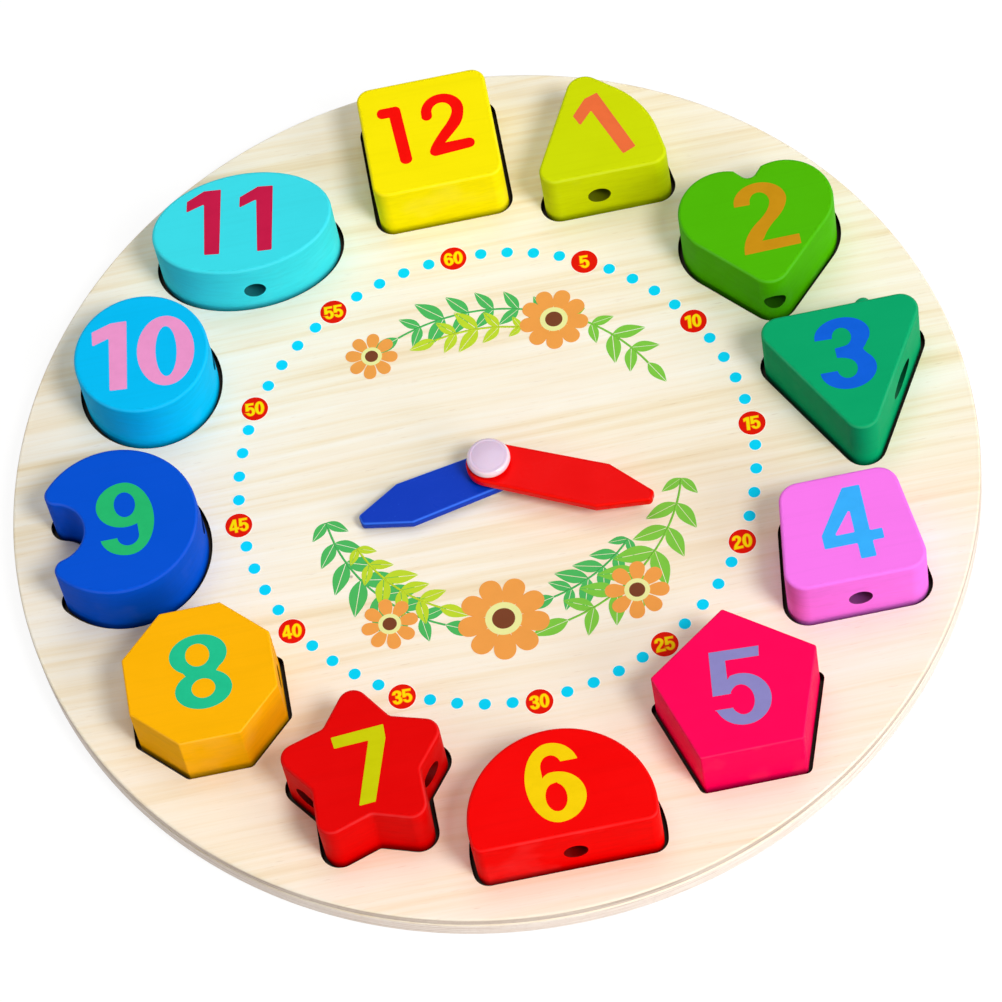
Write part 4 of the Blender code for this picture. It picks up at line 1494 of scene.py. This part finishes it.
def make_pin():
    """A shallow dome inside a full round rim, on a plain shaft with an eased tip."""
    head = PIN_HEAD_RADIUS
    seat = MINUTE_HAND_TOP + PIN_SEAT_GAP
    foot = head - 0.9 * MM
    belly = seat + 1.3 * MM
    shoulder = head - 1.0 * MM
    shoulder_top = PIN_TOP - 0.35 * MM
    profile = [(0, PIN_BOTTOM), (PIN_SHAFT_RADIUS - PIN_TIP_CHAMFER, PIN_BOTTOM)]
    profile += [(PIN_SHAFT_RADIUS, PIN_BOTTOM + PIN_TIP_CHAMFER), (PIN_SHAFT_RADIUS, seat)]
    for angle in quarter_turn(PIN_RIM_STEPS):
        radius = foot + (head - foot) * math.sin(angle)
        profile.append((radius, belly - (belly - seat) * math.cos(angle)))
    for angle in quarter_turn(PIN_RIM_STEPS, 1):
        radius = shoulder + (head - shoulder) * math.cos(angle)
        profile.append((radius, belly + (shoulder_top - belly) * math.sin(angle)))
    groove = shoulder - 0.25 * MM
    profile.append((groove + 0.08 * MM, shoulder_top - 0.05 * MM))
    dome_height = PIN_TOP - shoulder_top + 0.02 * MM
    for i in range(PIN_DOME_STEPS + 1):
        share = i / PIN_DOME_STEPS
        profile.append((groove * (1 - share), PIN_TOP - dome_height * (1 - share) ** 2.2))
    plastic = pin_plastic("lilac_plastic", *LILAC)
    body = as_object("dressed_centre_pin", turned(profile), (plastic,))
    handed_over(flat_shaded(body), "clock", "centre_pin")


def make_socket():
    """The flanged collar at the back, with its edges eased."""
    barrel = PIN_SHAFT_RADIUS + SHAFT_CLEARANCE + SOCKET_WALL
    bore = PIN_SHAFT_RADIUS + SHAFT_CLEARANCE
    ease = 0.4 * MM
    flange_top = SOCKET_BOTTOM + SOCKET_FLANGE
    floor_top = SOCKET_BOTTOM + SOCKET_FLOOR
    profile = [(0, SOCKET_BOTTOM)]
    for angle in quarter_turn(RIM_STEPS):
        radius = SOCKET_RADIUS - ease + ease * math.sin(angle)
        profile.append((radius, SOCKET_BOTTOM + ease * (1 - math.cos(angle))))
    profile += [(SOCKET_RADIUS, flange_top), (barrel, flange_top), (barrel, SOCKET_TOP)]
    profile += [(bore, SOCKET_TOP), (bore, floor_top), (0, floor_top)]
    plastic = pin_plastic("socket_lilac_plastic", *LILAC)
    body = as_object("dressed_rear_socket", turned(profile), (plastic,))
    handed_over(flat_shaded(body), "clock", "rear_socket")


def coat_washers():
    """The two washers keep their packed form and get a milky finish."""
    # The washers' paler second tone is a painted rim highlight.
    nylon = pin_plastic("washer_nylon_milk", "ECEAE4", "F2F0EC")
    for name in ("hour_washer", "minute_washer"):
        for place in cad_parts[name].material_slots:
            place.material = nylon


# Studio

CAMERA_PLACE = Vector((0.010901, -0.583550, 0.998809))
CAMERA_AIM = Vector((0.000868, -0.006664, 0.0073))
CAMERA_ROLL_DEGREES = -12.165
CAMERA_LENS = 178.71
SENSOR_WIDTH = 36.0
SKY_LEVEL = 0.26
SKY_TINT = (1.0, 0.97, 0.92, 1.0)
FLOOR_SHADOW_SHARE = 0.15
FLOOR_REACH = 3
FLOOR_DROP = 0.0001

# Soft round lamps that aim at the origin: name, place, width in metres and power in watts
LAMPS = (
    ("key_lamp", (0.92, -1.14, 2.00), 0.72, 29.6),
    ("fill_lamp", (1.65, -1.55, 0.96), 1.60, 24.0),
    ("overhead_lamp", (0.10, 0.70, 2.40), 2.00, 15.6),
)


def seen_directly(tree):
    """One for what the camera sees, also through glass or in a reflection, and zero otherwise."""
    path = put(tree, "ShaderNodeLightPath").outputs
    seen = figured(tree, "MAXIMUM", path["Is Camera Ray"], path["Is Glossy Ray"])
    return figured(tree, "MAXIMUM", seen, path["Is Transmission Ray"])


def make_sky():
    world = bpy.data.worlds.new("studio_sky")
    world.use_nodes = True
    bpy.context.scene.world = world
    tree = world.node_tree
    tree.nodes.clear()
    seen = seen_directly(tree)
    level = ranged(tree, seen, 0.0, 1.0, SKY_LEVEL, 1.0)
    tint = blended(tree, seen, SKY_TINT, (1, 1, 1, 1))
    sky = put(tree, "ShaderNodeBackground", {"Color": tint, "Strength": level})
    put(tree, "ShaderNodeOutputWorld", {"Surface": sky.outputs[0]})


def make_floor():
    """A wide pale floor that shows white and keeps a faint shadow."""
    shape = bmesh.new()
    far = FLOOR_REACH
    corners = [(-far, -far), (far, -far), (far, far), (-far, far)]
    shape.faces.new([shape.verts.new((x, y, -FLOOR_DROP)) for x, y in corners])
    material = bpy.data.materials.new("studio_floor_white")
    material.use_nodes = True
    tree = material.node_tree
    tree.nodes.clear()
    paper = put(tree, "ShaderNodeBsdfDiffuse", {"Color": (0.8, 0.8, 0.8, 1)})
    shadowed = put(tree, "ShaderNodeBsdfDiffuse", {"Color": (FLOOR_SHADOW_SHARE,) * 3 + (1,)})
    glow = put(tree, "ShaderNodeEmission", {"Strength": 1.02 - FLOOR_SHADOW_SHARE * 0.92})
    seen = put(tree, "ShaderNodeAddShader", {0: shadowed.outputs[0], 1: glow.outputs[0]})
    sockets = {0: seen_directly(tree), 1: paper.outputs[0], 2: seen.outputs[0]}
    mixed = put(tree, "ShaderNodeMixShader", sockets)
    put(tree, "ShaderNodeOutputMaterial", {"Surface": mixed.outputs[0]})
    floor = as_object("studio_floor", shape, (material,))


def make_lamps():
    """A soft lamp from the right front, a low fill beside it, and a wide one overhead."""
    for name, place, size, power in LAMPS:
        lamp = bpy.data.lights.new(name, "AREA")
        lamp.shape = "DISK"
        lamp.size = size
        lamp.energy = power
        holder = bpy.data.objects.new(name, lamp)
        bpy.context.scene.collection.objects.link(holder)
        holder.location = place
        holder.rotation_euler = (-Vector(place)).to_track_quat("-Z", "Y").to_euler()


def make_camera():
    lens = bpy.data.cameras.new("photo_camera")
    lens.lens = CAMERA_LENS
    lens.sensor_width = SENSOR_WIDTH
    camera = bpy.data.objects.new("photo_camera", lens)
    bpy.context.scene.collection.objects.link(camera)
    aim = (CAMERA_AIM - CAMERA_PLACE).to_track_quat("-Z", "Y").to_matrix().to_4x4()
    roll = Matrix.Rotation(math.radians(CAMERA_ROLL_DEGREES), 4, "Z")
    camera.matrix_world = Matrix.Translation(CAMERA_PLACE) @ aim @ roll
    bpy.context.scene.camera = camera


make_boards()
for block in BLOCKS:
    make_block(block)
    make_numeral(block)
make_paint_bead()
make_ring()
make_garland()
# The last colour of each hand is the painted highlight on its edges.
make_hand("hour_hand", HOUR_POSE, HOUR_HAND_BOTTOM, HOUR_HAND_TOP, "063ABE", "3C78F8")
make_hand("minute_hand", MINUTE_POSE, MINUTE_HAND_BOTTOM, MINUTE_HAND_TOP, "EE0000", "F81408")
make_pin()
make_socket()
coat_washers()
make_sky()
make_floor()
make_lamps()
make_camera()

bpy.context.scene.view_settings.view_transform = "Standard"
